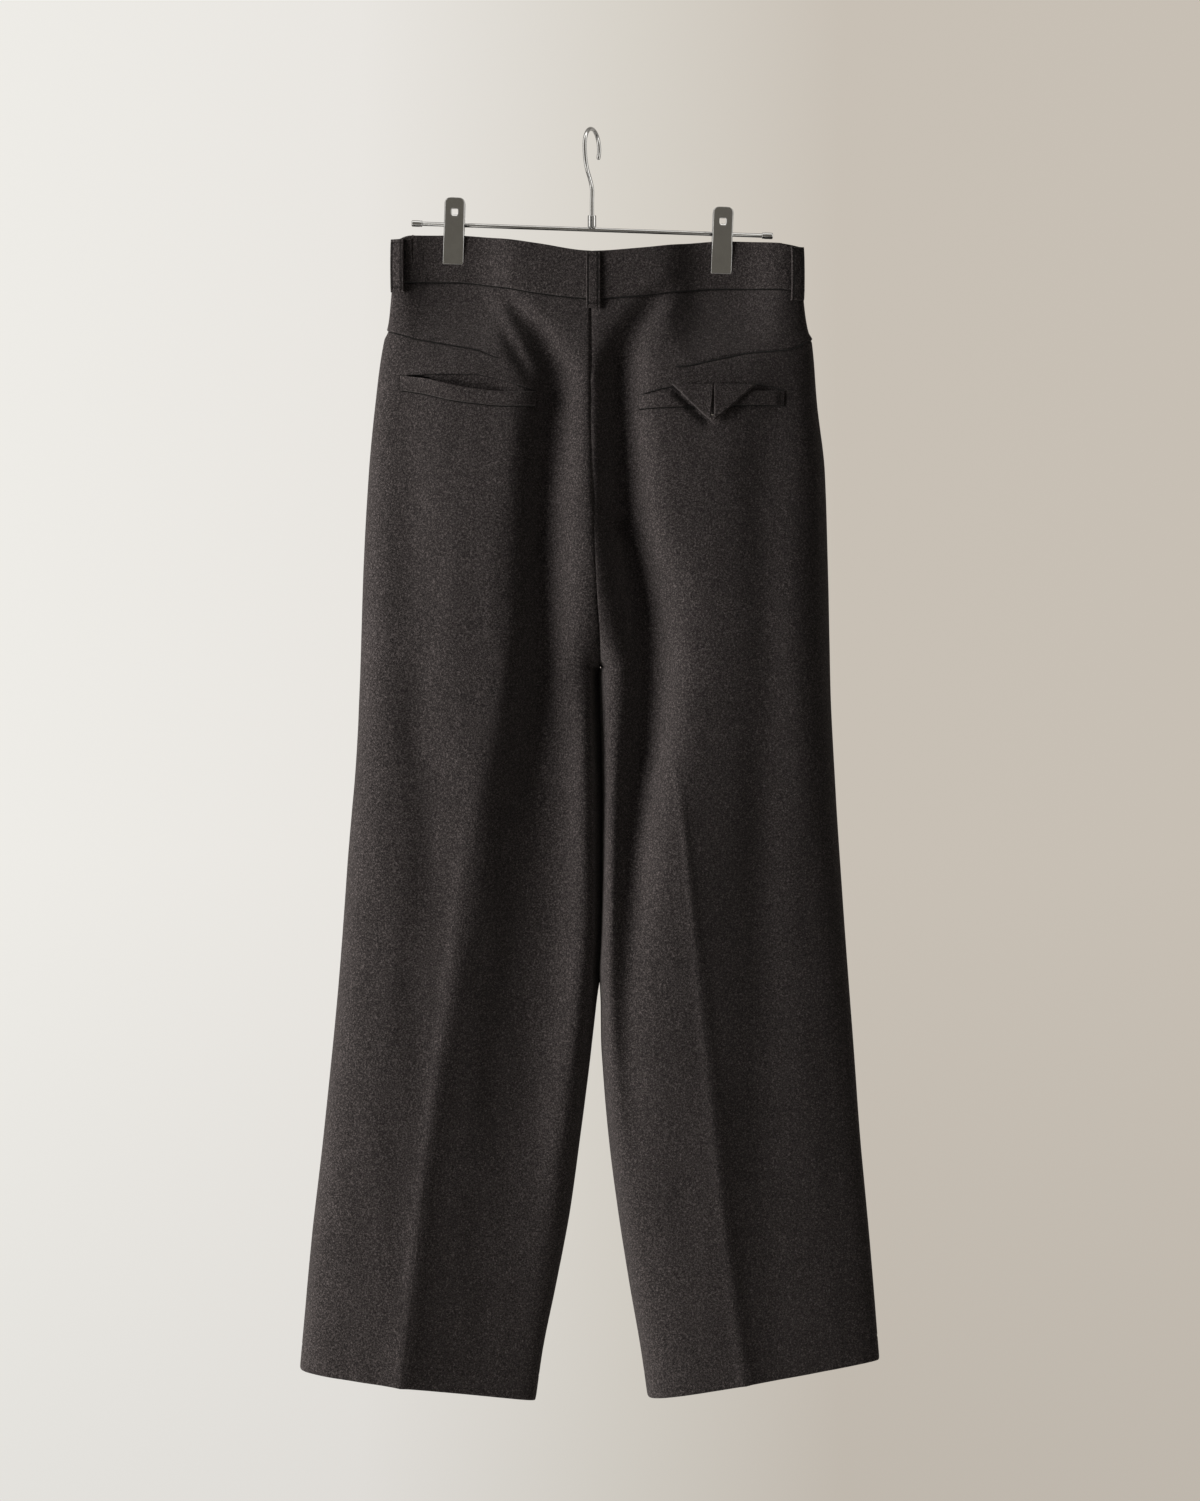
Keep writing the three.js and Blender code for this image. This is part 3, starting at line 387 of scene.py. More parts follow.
def half_ring(side, z):
    """Half of the garment at each height: its inner and outer ends, middle and half width."""
    z = np.asarray(z, dtype=float)
    outer = value_at(OUTLINE, SIDE_NAME[side], z)
    centre = value_at(CENTRE_SEAM, "x", z) + side * SEAM_GAP / 2
    leg = value_at(INSEAMS, SIDE_NAME[side], z) - side * touch_at(z)
    inner = np.where(z > CROTCH_Z, centre, leg)
    start = np.clip((z - CROTCH_Z) / MERGE_HEIGHT, 0, 1) - 1
    half_width = np.abs(outer - inner) / (1 - start)
    return inner, outer, outer - side * half_width, half_width


def across(side, ring, x):
    return np.clip(side * (x - ring[2]) / ring[3], -1.0, 1.0)


def bulge(u):
    return np.maximum(1 - np.abs(u) ** ROUNDNESS, 0) ** (1 / ROUNDNESS)


def angle_of(u):
    return np.arccos(-np.sign(u) * np.abs(u) ** (ROUNDNESS / 2))


def across_at_angle(angle):
    c = -np.cos(angle)
    return np.sign(c) * np.abs(c) ** (2 / ROUNDNESS)


def pinch_at(x, z):
    clip_x = np.where(x < 0, CLIP_X[LEFT], CLIP_X[RIGHT])
    return smooth(*PINCH_HEIGHTS, z) * np.exp(-(((x - clip_x) / PINCH_SPREAD) ** PINCH_POWER))


def folds_at(face, x, z):
    total = np.zeros_like(x)
    for fold in FOLDS[face]:
        offset = (x - value_at(fold, "x", z)) / value_at(fold, "spread", z)
        total += value_at(fold, "depth", z) * np.exp(-0.5 * offset * offset)
    return total


def pleats_at(side, x, z):
    def step(pleat_x):
        offset = side * (x - pleat_x)
        past = np.exp(-np.maximum(offset, 0) / PLEAT_REACH)
        return np.where(offset >= 0, past, np.maximum(1 + offset / PLEAT_STEP, 0))

    first = crease_x(side, z)
    return value_at(PLEATS, "first", z) * step(first) + value_at(PLEATS, "second", z) * step(
        first + side * PLEAT_SPACING
    )


def skin_y(face, side, ring, x, z):
    """How far the cloth's outer face lies from the plane of the side seams."""
    u = across(side, ring, x)
    lift = bulge(u)
    pinch = pinch_at(x, z)
    softened = np.sqrt(lift)
    body = value_at(FULLNESS, FACE_NAME[face], z) * lift
    if face == BACK:
        body = body * (1 + value_at(SKEW, SIDE_NAME[side], z) * u)
    rise = "front" if face == FRONT else "rise_" + SIDE_NAME[side]
    crease = value_at(CREASES, rise, z) * np.exp(-np.abs(x - crease_x(side, z)) / CREASE_REACH)
    pleats = pleats_at(side, x, z) if face == FRONT else 0.0
    shaped = body + (crease + pleats - folds_at(face, x, z)) * softened
    depth = shaped * (1 - pinch) + PINCH_HALF_DEPTH * pinch
    return face * np.maximum(depth, np.minimum(body, LEAST_DEPTH))


def waist_z(face, column, x):
    sag = FRONT_SAG * np.exp(-((x / FRONT_SAG_REACH) ** 2)) if face == FRONT else 0.0
    return value_at(WAIST_LINE, column, x) - sag


def slant_at(face, side, x, z):
    """How far a row is shifted, so that rows follow the waist, the back darts and the hem."""
    hem = HEMS[side]
    outward = np.maximum(side * (x - hem["inner_x"]), -HEM_CORNER_REACH)
    at_hem = hem["inner_z"] + hem["rise"] * outward - HEM_Z
    at_waist = waist_z(face, "seam", x) - BAND_SEAM_Z
    if face == FRONT:
        upper = at_waist * smooth(SLANT_END_Z[FRONT], BAND_SEAM_Z, z)
    else:
        at_dart = value_at(DART_LINES[side], "z", x) - DART_LEVEL
        to_waist = np.clip((z - DART_LEVEL) / (BAND_SEAM_Z - DART_LEVEL), 0, 1)
        below = smooth(SLANT_END_Z[BACK], DART_LEVEL, z)
        upper = at_waist * to_waist + at_dart * (1 - to_waist) * below
    return upper + at_hem * (1 - smooth(HEM_Z, HEM_SLANT_TOP_Z, z))


def skin_point(face, side, x, z):
    """Points of the outer face at x and z, in millimetres."""
    x, z = np.broadcast_arrays(np.asarray(x, float), np.asarray(z, float))
    ring = half_ring(side, z)
    return np.stack([x, skin_y(face, side, ring, x, z), z], axis=-1)


def grid_normals(points, sign):
    """Unit normals of a grid of points, turned to the side that the sign gives."""
    along_row = np.gradient(points, axis=1)
    along_column = np.gradient(points, axis=0)
    normals = np.cross(along_row, along_column)
    length = np.linalg.norm(normals, axis=-1, keepdims=True)
    return sign * normals / np.maximum(length, 1e-9)


def grid_faces(rows, columns, first, flip):
    j, i = np.meshgrid(np.arange(rows - 1), np.arange(columns - 1), indexing="ij")
    a = first + j * columns + i
    quads = np.stack([a, a + columns, a + columns + 1, a + 1], axis=-1).reshape(-1, 4)
    return quads[:, ::-1] if flip else quads


def mesh_object(name, points, quads, uv, material):
    """A mesh object from points in millimetres and quads, with one UV pair for each point."""
    mesh = bpy.data.meshes.new(name)
    mesh.vertices.add(len(points))
    mesh.vertices.foreach_set("co", (points * MM).astype(np.float32).ravel())
    mesh.loops.add(quads.size)
    mesh.loops.foreach_set("vertex_index", quads.astype(np.int32).ravel())
    mesh.polygons.add(len(quads))
    mesh.polygons.foreach_set("loop_start", np.arange(0, quads.size, 4, dtype=np.int32))
    mesh.update(calc_edges=True)
    mesh.validate()
    mesh.polygons.foreach_set("use_smooth", np.ones(len(mesh.polygons), bool))
    layer = mesh.uv_layers.new(name="cloth")
    layer.data.foreach_set("uv", uv[quads.ravel()].astype(np.float32).ravel())
    mesh.materials.append(material)
    obj = bpy.data.objects.new(name, mesh)
    bpy.context.scene.collection.objects.link(obj)
    return obj


def wall_object(name, outer, inner, material, hole=None):
    """A closed wall between two matching grids of points, with an optional mask of cut quads."""
    rows, columns = outer.shape[:2]
    count = rows * columns
    keep = np.ones((rows - 1, columns - 1), bool) if hole is None else ~hole
    outside = grid_faces(rows, columns, 0, False)[keep.ravel()]
    inside = grid_faces(rows, columns, count, True)[keep.ravel()]
    quads = np.concatenate([outside, inside, edge_walls(keep, columns, count)])
    points = np.concatenate([outer.reshape(-1, 3), inner.reshape(-1, 3)])
    if volume_of(points, quads) < 0:
        quads = quads[:, ::-1]
    uv = np.concatenate([cloth_uv(outer), cloth_uv(outer)])
    return mesh_object(name, points, quads, uv, material)


def edge_walls(keep, columns, count):
    """Quads that join the two layers along every edge of the kept quads."""
    padded = np.pad(keep, 1)
    walls = []
    for j, i in np.argwhere(keep):
        a = j * columns + i
        corners = {
            "left": (a, a + columns, padded[j + 1, i]),
            "down": (a + columns, a + columns + 1, padded[j + 2, i + 1]),
            "right": (a + columns + 1, a + 1, padded[j + 1, i + 2]),
            "up": (a + 1, a, padded[j, i + 1]),
        }
        for start, end, neighbour in corners.values():
            if not neighbour:
                walls.append((end, start, start + count, end + count))
    return np.array(walls)


def volume_of(points, quads):
    a, b, c, d = (points[quads[:, k]] for k in range(4))
    first = np.einsum("ij,ij->i", a, np.cross(b, c))
    second = np.einsum("ij,ij->i", a, np.cross(c, d))
    return float(first.sum() + second.sum())


def cloth_uv(points):
    """Metres along the rows and down the columns, so that a weave keeps its size on folds."""
    along = row_lengths(points)
    middle = points.shape[1] // 2
    along = along - along[:, middle : middle + 1]
    return np.stack([along, -points[..., 2]], axis=-1).reshape(-1, 2) * MM


def added(obj):
    """A fine piece that no solid stands for."""
    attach(obj, BODY)


def declare(obj, node):
    """A piece that takes the place of a solid."""
    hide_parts(node)
    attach(obj, BODY)


# Materials


class Nodes:
    """A short way to add and join the nodes of one material."""

    def __init__(self, material):
        material.use_nodes = True
        self.tree = material.node_tree
        self.tree.nodes.clear()

    def add(self, kind, inputs=None, **settings):
        node = self.tree.nodes.new(kind)
        for key, value in settings.items():
            setattr(node, key, value)
        for key, value in (inputs or {}).items():
            if isinstance(value, bpy.types.NodeSocket):
                self.tree.links.new(value, node.inputs[key])
            else:
                node.inputs[key].default_value = value
        return node

    def place(self):
        return self.add("ShaderNodeTexCoord").outputs["Object"]

    def noise(self, vector, scale, **inputs):
        inputs = {"Vector": vector, "Scale": scale, **inputs}
        return self.add("ShaderNodeTexNoise", inputs).outputs["Fac"]

    def map_range(self, value, low, high, to_low=0.0, to_high=1.0):
        ends = {"From Min": low, "From Max": high, "To Min": to_low, "To Max": to_high}
        return self.add("ShaderNodeMapRange", {"Value": value, **ends}).outputs["Result"]

    def sum(self, first, second):
        return self.add("ShaderNodeMath", {0: first, 1: second}, operation="ADD").outputs[0]

    def product(self, first, second):
        return self.add("ShaderNodeMath", {0: first, 1: second}, operation="MULTIPLY").outputs[0]

    def bump(self, height, strength, distance):
        inputs = {"Height": height, "Strength": strength, "Distance": distance}
        return self.add("ShaderNodeBump", inputs).outputs["Normal"]

    def surface(self, inputs):
        shader = self.add("ShaderNodeBsdfPrincipled", inputs)
        self.add("ShaderNodeOutputMaterial", {"Surface": shader.outputs["BSDF"]})


def linear(red, green, blue):
    """A linear colour from 8-bit display values."""

    def one(value):
        v = value / 255
        return v / 12.92 if v <= 0.04045 else ((v + 0.055) / 1.055) ** 2.4

    return (one(red), one(green), one(blue), 1.0)


def ramp(nodes, factor, stops):
    node = nodes.add("ShaderNodeValToRGB", {"Fac": factor})
    elements = node.color_ramp.elements
    while len(elements) < len(stops):
        elements.new(0.5)
    for element, (position, colour) in zip(elements, stops):
        element.position = position
        element.color = colour
    return node.outputs["Color"]


TWILL_SLOPE = math.radians(52)
WOOL_COLOURS = [
    (0.38, linear(29, 26.5, 27)),
    (0.47, linear(54, 49.5, 49.5)),
    (0.55, linear(75, 69.5, 69)),
    (0.64, linear(116, 108, 107)),
]


def wool_material(name, shade=1.0):
    """Napped melton: dark fibres with lighter flecks, a faint twill and a soft fuzz."""
    material = bpy.data.materials.new(name)
    nodes = Nodes(material)
    weave = nodes.add("ShaderNodeUVMap", uv_map="cloth").outputs["UV"]
    solid = nodes.place()
    fibre = nodes.noise(solid, 1150.0, Detail=2.0, Roughness=0.7)
    mottle = nodes.noise(solid, 640.0, Detail=2.0, Roughness=0.6)
    cloud = nodes.noise(solid, 22.0, Detail=2.0)
    turned = nodes.add("ShaderNodeMapping", {"Vector": weave, "Rotation": (0, 0, TWILL_SLOPE)})
    twill = nodes.add(
        "ShaderNodeTexWave",
        {
            "Vector": turned.outputs["Vector"],
            "Scale": 260.0,
            "Distortion": 3.5,
            "Detail": 2.0,
            "Detail Scale": 2.0,
        },
        wave_type="BANDS",
    ).outputs["Fac"]

    mixed = nodes.product(nodes.sum(fibre, mottle), 0.5)
    stops = [(at, [shade * c for c in colour[:3]] + [1.0]) for at, colour in WOOL_COLOURS]
    clouded = nodes.map_range(cloud, 0.3, 0.7, 0.93, 1.06)
    toned = nodes.add(
        "ShaderNodeMix",
        {"Factor": 1.0, "A": ramp(nodes, mixed, stops), "B": clouded},
        data_type="RGBA",
        blend_type="MULTIPLY",
    )
    height = nodes.sum(nodes.sum(nodes.product(twill, 0.35), fibre), mottle)
    nodes.surface(
        {
            "Base Color": toned.outputs["Result"],
            "Roughness": 0.92,
            "Specular IOR Level": 0.12,
            "Sheen Weight": 0.22,
            "Sheen Roughness": 0.55,
            "Sheen Tint": (0.62, 0.58, 0.56, 1.0),
            "Normal": nodes.bump(height, 0.75, 0.0009),
        }
    )
    return material


def thread_material(name, colour):
    """Twisted sewing thread: fine diagonal ridges."""
    material = bpy.data.materials.new(name)
    nodes = Nodes(material)
    inputs = {"Vector": nodes.place(), "Scale": 900.0, "Distortion": 1.0}
    wave = nodes.add("ShaderNodeTexWave", inputs, bands_direction="DIAGONAL")
    twist = wave.outputs["Fac"]
    darker = tuple(0.55 * c for c in colour[:3]) + (1.0,)
    nodes.surface(
        {
            "Base Color": ramp(nodes, twist, [(0.2, darker), (0.8, colour)]),
            "Roughness": 0.7,
            "Normal": nodes.bump(twist, 0.4, 0.0002),
        }
    )
    return material


def chrome_material(name):
    """Polished plate with faint wipe marks and small scratches."""
    material = bpy.data.materials.new(name)
    nodes = Nodes(material)
    solid = nodes.place()
    smear = nodes.noise(solid, 60.0, Detail=5.0)
    stretched = nodes.add("ShaderNodeMapping", {"Vector": solid, "Scale": (900, 900, 60)})
    scratch = nodes.noise(stretched.outputs["Vector"], 1.0, Detail=2.0)
    clean, wiped = (0.78, 0.79, 0.8, 1), (0.66, 0.66, 0.66, 1)
    nodes.surface(
        {
            "Base Color": ramp(nodes, smear, [(0.3, clean), (0.7, wiped)]),
            "Metallic": 1.0,
            "Roughness": nodes.map_range(smear, 0.3, 0.75, 0.07, 0.2),
            "Normal": nodes.bump(scratch, 0.08, 0.0001),
        }
    )
    return material


def plain_material(name, scale, stops, roughness, **noise):
    """A matt material whose colour varies with one noise."""
    material = bpy.data.materials.new(name)
    nodes = Nodes(material)
    streak = nodes.noise(nodes.place(), scale, **noise)
    nodes.surface({"Base Color": ramp(nodes, streak, stops), "Roughness": roughness})
    return material


HORN_COLOURS = [(0.35, (0.008, 0.007, 0.007, 1)), (0.7, (0.03, 0.026, 0.024, 1))]

wool = wool_material("wool")
band_wool = wool_material("band_wool", 0.97)
thread = thread_material("thread", linear(52, 48, 47))
light_thread = thread_material("button_thread", linear(176, 168, 158))
# The seam thread is near-black, much darker than the cloth. That darkness is painted shade for the groove
# along each seam, as well as the thread itself.
painted_shade_seam_thread = thread_material("painted_shade_seam_thread", linear(6, 5, 5))
tape = thread_material("zip_tape", linear(34, 32, 32))
chrome = chrome_material("chrome")
horn = plain_material("horn", 240.0, HORN_COLOURS, 0.38, Detail=3.0, Distortion=1.5)


# Leg panels

PRESS_RISE = 1.5
PRESS_REACH = 2.1
PRESS_HEIGHTS = (-540.0, -640.0)
CLEARANCE = {"outer": 0.05, "inner": 1.1}
EDGE_FRACTIONS = [0.0, 0.004, 0.012, 0.025, 0.045, 0.07]
STITCH_ABOVE_HEM = 22.0
EDGE_SHARE = 0.09
COLUMN_COUNTS = {BACK: [60, 66], FRONT: [40, 3, 16, 3, 38]}
POCKET_END_Z = -264.0
ROW_COUNTS = {"dart": 18, "pocket": {BACK: 72, FRONT: 18}, "seat": 62, "leg": 150}
BROAD_WAVE = {"seed": 3, "rise": 0.9, "length": 46}
FINE_WAVE = {"seed": 31, "rise": 0.25, "length": 13}
DART_LAYER = {"depth": 1.1, "reach": 9}
DART_GROOVE = {"depth": 1.5, "width": 0.8}
WAVES = 9
WAVE_FLATNESS = 0.45
SEAM_DIP = {"depth": 0.8, "reach": 1.6}
BAND_SEAM_DIP = {"depth": 2.2, "reach": 1.6}
HEM_DIP = {"depth": 0.7, "reach": 0.8}
HEM_GROOVE = {"depth": 0.45, "width": 0.9}


def column_angles(side, face, ring, z):
    """Angles of the columns of each row: close together at the two seams, one on each crease."""
    first = crease_x(side, z)
    if face == BACK:
        stations = [ring[0], first, ring[1]]
    else:
        second = first + side * PLEAT_SPACING
        step = side * PLEAT_STEP
        stations = [ring[0], first - step, first, second - step, second, ring[1]]
    counts = COLUMN_COUNTS[face]
    angles = [angle_of(across(side, ring, s)) for s in stations]
    columns = []
    for group, count in enumerate(counts):
        shares = np.arange(count) / count
        if group == 0:
            shares = np.concatenate([EDGE_FRACTIONS, shares[shares > EDGE_SHARE]])
        if group == len(counts) - 1:
            ends = 1 - np.array(EDGE_FRACTIONS[:0:-1])
            shares = np.concatenate([shares[shares < 1 - EDGE_SHARE], ends])
        step_angle = (angles[group + 1] - angles[group])[:, None]
        columns.append(angles[group][:, None] + step_angle * shares)
    columns.append(np.full((len(z), 1), math.pi))
    return np.concatenate(columns, axis=1)


def panel_rows(face):
    """Heights of a panel's rows before they are slanted to the waist and the hem."""
    close = np.array([3.2, 2.2, 1.5, 1.0, 0.6, 0.25])
    stitch = HEM_Z + STITCH_ABOVE_HEM
    groups = [
        BAND_SEAM_Z - np.array([0, 0.5, 1.2, 2.2, 4]),
        np.linspace(BAND_SEAM_Z - 7, DART_LEVEL + 5, ROW_COUNTS["dart"]),
        DART_LEVEL + np.concatenate([close, [0.0], -close[::-1]]),
        np.linspace(DART_LEVEL - 5, POCKET_END_Z, ROW_COUNTS["pocket"][face]),
        np.linspace(POCKET_END_Z - 4, CROTCH_Z + 1, ROW_COUNTS["seat"]),
        CROTCH_Z - np.array([0, 1.5]),
        np.linspace(CROTCH_Z - 5, HEM_Z + 26, ROW_COUNTS["leg"]),
        stitch + np.array([1.6, 0.7, 0, -0.7, -1.6]),
        HEM_Z + np.array([15, 10, 6, 3, 1.2, 0.4, 0]),
    ]
    return np.concatenate(groups)


def noise_field(x, z, seed, scale):
    """A soft seeded field of a few crossed waves, for the small unevenness of cloth."""
    rng = np.random.default_rng(100 + seed)
    total = np.zeros_like(x)
    for _ in range(WAVES):
        turn = rng.uniform(0, math.tau)
        length = scale * rng.uniform(0.6, 1.9)
        phase = rng.uniform(0, math.tau)
        along = x * math.cos(turn) + WAVE_FLATNESS * z * math.sin(turn)
        total += np.sin(along * math.tau / length + phase)
    return total / WAVES


def noise_relief(face, side, x, z, lift):
    """The small unevenness that the panel and whatever lies on it share."""
    total = 0.0
    for wave in (BROAD_WAVE, FINE_WAVE):
        total += wave["rise"] * noise_field(x, z, wave["seed"] + face + 5 * side, wave["length"])
    return lift * total


def row_lengths(points):
    """How far each point lies along its row."""
    steps = np.linalg.norm(np.diff(points, axis=1), axis=-1)
    return np.concatenate([np.zeros((len(points), 1)), np.cumsum(steps, axis=1)], axis=1)


def panel_relief(face, side, outer, level_z):
    """How far each point of a panel rises over, or sinks below, its plain form."""
    x, z = outer[..., 0], outer[..., 2]
    from_inner = row_lengths(outer)
    relief = -dip(from_inner, **SEAM_DIP) - dip(from_inner[:, -1:] - from_inner, **SEAM_DIP)
    relief += noise_relief(face, side, x, z, bulge(across(side, half_ring(side, z), x)))
    relief -= groove(level_z - (HEM_Z + STITCH_ABOVE_HEM), **HEM_GROOVE)
    relief -= dip(level_z - HEM_Z, **HEM_DIP)
    relief -= dip(BAND_SEAM_Z - level_z, **BAND_SEAM_DIP)
    if face == BACK:
        relief += pocket_relief(side, x, z) + dart_relief(side, x, level_z)
        pressed = smooth(*PRESS_HEIGHTS, z) * dip(np.abs(x - crease_x(side, z)), 1.0, PRESS_REACH)
        relief += PRESS_RISE * pressed
    return relief


def kept_on_side(face, side, points, clearance):
    """Moves the points that crossed the side seams' plane, the centre seam or the other leg."""
    points[..., 1] = face * np.maximum(face * points[..., 1], SEAM_GAP / 2)
    seam = value_at(CENTRE_SEAM, "x", points[..., 2])
    above = points[..., 2] > CROTCH_Z
    crossing = above & (side * (points[..., 0] - seam) < 0)
    crossing[:, 0] |= above[:, 0]
    points[..., 0] = np.where(crossing, seam, points[..., 0])
    pressed_apart(side, points, clearance)


def panel_grids(face, side):
    """The outer and inner layers of a leg panel."""
    rows = panel_rows(face)
    level = half_ring(side, rows)
    angles = column_angles(side, face, level, rows)
    near_x = level[2][:, None] + side * level[3][:, None] * across_at_angle(angles)
    level_z = np.broadcast_to(rows[:, None], near_x.shape)
    z = level_z + slant_at(face, side, near_x, level_z)
    z = np.where(level_z > CROTCH_Z, np.maximum(z, CROTCH_Z + 0.01), np.minimum(z, CROTCH_Z))
    ring = half_ring(side, z)
    x = ring[2] + side * ring[3] * across_at_angle(angles)
    outer = np.stack([x, skin_y(face, side, ring, x, z), z], axis=-1)
    normals = grid_normals(outer, side * face)
    relief = panel_relief(face, side, outer, level_z)
    hem = smooth(HEM_Z + HEM_DEPTH, HEM_Z + HEM_DEPTH - 3, level_z)
    thickness = CLOTH + (HEM_CLOTH - CLOTH) * hem
    inner = outer - normals * (thickness + np.maximum(-relief - 0.7, 0))[..., None]
    outer = outer + normals * relief[..., None]
    kept_on_side(face, side, outer, CLEARANCE["outer"])
    kept_on_side(face, side, inner, CLEARANCE["inner"])
    return outer, inner


def dart_relief(side, x, level_z):
    """The dart's seam: a fine groove below the doubled cloth, running in from the side."""
    along = 1 - smooth(-6, 8, side * (DART_ENDS[side] - x))
    above = level_z - DART_LEVEL
    layer = dip(np.maximum(above, 0), **DART_LAYER) * (above >= 0)
    return along * (layer - groove(above, **DART_GROOVE))


# Back pockets

LEFT_WELT_EDGE = table(
    "x z", (-171, -229), (-150, -233), (-130, -238), (-103, -242), (-78, -244), (-52, -243)
)
LEFT_LIP_EDGE = table(
    "x z",
    (-171, -228),
    (-150, -227.5),
    (-130, -227.5),
    (-105, -228),
    (-85, -232),
    (-66, -238),
    (-52, -242),
)
RIGHT_WELT_EDGE = table("x z", (45, -246), (75, -245), (110, -243.5), (145, -242.5), (175.5, -242.5))
RIGHT_LIP_EDGE = table("x z", (44, -246), (74.5, -239.3), (112, -236.8), (150, -236.6), (176, -242))
LEFT_WELT_ENDS = (-174.0, -52.0)
RIGHT_WELT_ENDS = (44.0, 175.5)
WELT_HEIGHT = 13.0
WELT_SEAM = {"depth": 1.0, "width": 1.2}
WELT_STITCH = 11.6
MOUTH_GAPE = 7.0
MOUTH_X = -142.0
MOUTH_REACH = 30.0
MOUTH_DEPTH = 9.0
MOUTH_STEEPNESS = 1.4
MOUTH_STARTS_X = (-172.5, -168.0)
MOUTH_CLOSES_X = (-80.0, -58.0)
BEHIND_WELT = 3.0
MOUTH_ENDS = (-169.0, -114.0)
MOUTH_OPENING = table(
    "x z", (-169, -227), (-156, -228), (-147, -230), (-138, -233.5), (-129, -238), (-116, -244)
)
FLAP_CORNER = (73.0, -238.5)
FLAP_POINT = (109.0, -272.0)
FLAP_VALLEY = {"depth": 4.0, "width": 3.6}


def pocket_relief(side, x, z):
    """The panel sinks under each welt, and falls back behind the left pocket's gaping mouth."""
    sunk = -groove(from_welt(side, x, z), **WELT_SEAM)
    if side == RIGHT:
        return sunk + under_flap(x, z)
    top = value_at(LEFT_LIP_EDGE, "z", x)
    low = value_at(LEFT_WELT_EDGE, "z", x) - BEHIND_WELT
    down = np.clip((top - z) / np.maximum(top - low, 1.0), 0, 1.3)
    inside = down**MOUTH_STEEPNESS * smooth(low - 1.5, low + 1.0, z)
    ends = smooth(*MOUTH_STARTS_X, x) * (1 - smooth(*MOUTH_CLOSES_X, x))
    return sunk - MOUTH_DEPTH * inside * ends


def from_welt(side, x, z):
    """How far a place on the panel lies outside the pocket's welt."""
    if side == LEFT:
        ends, lip, welt = LEFT_WELT_ENDS, LEFT_LIP_EDGE, LEFT_WELT_EDGE
    else:
        ends, lip, welt = RIGHT_WELT_ENDS, RIGHT_LIP_EDGE, RIGHT_WELT_EDGE
    beside = np.maximum(np.maximum(ends[0] - x, x - ends[1]), 0)
    low = value_at(welt, "z", x) - WELT_HEIGHT
    above = np.maximum(np.maximum(z - value_at(lip, "z", x), low - z), 0)
    return np.hypot(beside, above)


def under_flap(x, z):
    """The valley that the flap's inner fold presses into the cloth beside it."""
    run, fall = FLAP_POINT[0] - FLAP_CORNER[0], FLAP_POINT[1] - FLAP_CORNER[1]
    length = math.hypot(run, fall)
    right, down = x - FLAP_CORNER[0], z - FLAP_CORNER[1]
    along = (right * run + down * fall) / length
    away = (right * fall - down * run) / length
    ends = smooth(0, 12, along) * (1 - smooth(length - 4, length + 5, along))
    return -ends * groove(away - 2.0, **FLAP_VALLEY)


def mouth_hole(outer):
    """The quads of the left back panel that are cut away in the pocket's mouth."""
    middle = (outer[:-1, :-1] + outer[1:, :-1] + outer[:-1, 1:] + outer[1:, 1:]) / 4
    x, z = middle[..., 0], middle[..., 2]
    below_lip = z < value_at(LEFT_LIP_EDGE, "z", x) - 0.4
    above_welt = z > value_at(LEFT_WELT_EDGE, "z", x) - BEHIND_WELT - 1
    open_part = z < value_at(MOUTH_OPENING, "z", x)
    return below_lip & above_welt & open_part & (x > MOUTH_ENDS[0]) & (x < MOUTH_ENDS[1])


panels = {(face, side): panel_grids(face, side) for face in (BACK, FRONT) for side in (LEFT, RIGHT)}


def build_panels():
    for (face, side), (outer, inner) in panels.items():
        node = FACE_NAME[face] + "_" + SIDE_NAME[side]
        hole = mouth_hole(outer) if (face, side) == (BACK, LEFT) else None
        obj = wall_object(node + "_cloth", outer, inner, wool, hole)
        declare(obj, node)


build_panels()


# Strips that lie on the cloth

EDGE_THICKNESS = 0.15
STRIP_ROUND = 1.1
SLOPE_STEP = 0.5


def cloth_points(face, side, x, z, out):
    """Points moved out from the cloth's outer face at x and z."""
    x, z, out = np.broadcast_arrays(*(np.asarray(v, float) for v in (x, z, out)))
    point = skin_point(face, side, x, z)
    step = SLOPE_STEP
    along = skin_point(face, side, x + step, z) - skin_point(face, side, x - step, z)
    down = skin_point(face, side, x, z - step) - skin_point(face, side, x, z + step)
    normal = unit(np.cross(along, down))
    normal *= np.sign(normal[..., 1:2]) * face
    lift = bulge(across(side, half_ring(side, z), x))
    return point + normal * (out + noise_relief(face, side, x, z, lift))[..., None]


def places(length, step, edge=(0.0, 0.2, 0.55, 1.0, 1.6)):
    """Distances along a strip, close together at both of its edges."""
    count = max(int(length / step), 2)
    middle = np.linspace(0, length, count + 1)
    middle = middle[(middle > edge[-1] + 0.3) & (middle < length - edge[-1] - 0.3)]
    return np.concatenate([edge, middle, length - np.array(edge[::-1])])


def edge_round(distance, radius):
    """1 inside a strip, falling on a quarter circle to 0 at its edge."""
    rest = 1 - np.clip(distance / radius, 0, 1)
    return np.sqrt(np.maximum(1 - rest * rest, 0))


def crowned(distance, radius):
    """The share of a strip's full thickness that it has at a distance from its edge."""
    return EDGE_THICKNESS + (1 - EDGE_THICKNESS) * edge_round(distance, radius)


def strip_on_cloth(name, face, side, x, z, u, v, lift, thickness, dents=0.0):
    """A strip over grids of x and z; u and v are the distances along and across it."""
    from_end = np.minimum(u, u.max() - u)[None, :]
    from_side = np.minimum(v, v.max() - v)[:, None]
    height = thickness * crowned(np.minimum(from_end, from_side), STRIP_ROUND)
    outer = cloth_points(face, side, x, z, lift + height - dents)
    inner = cloth_points(face, side, x, z, lift)
    return wall_object(name, outer, inner, wool)


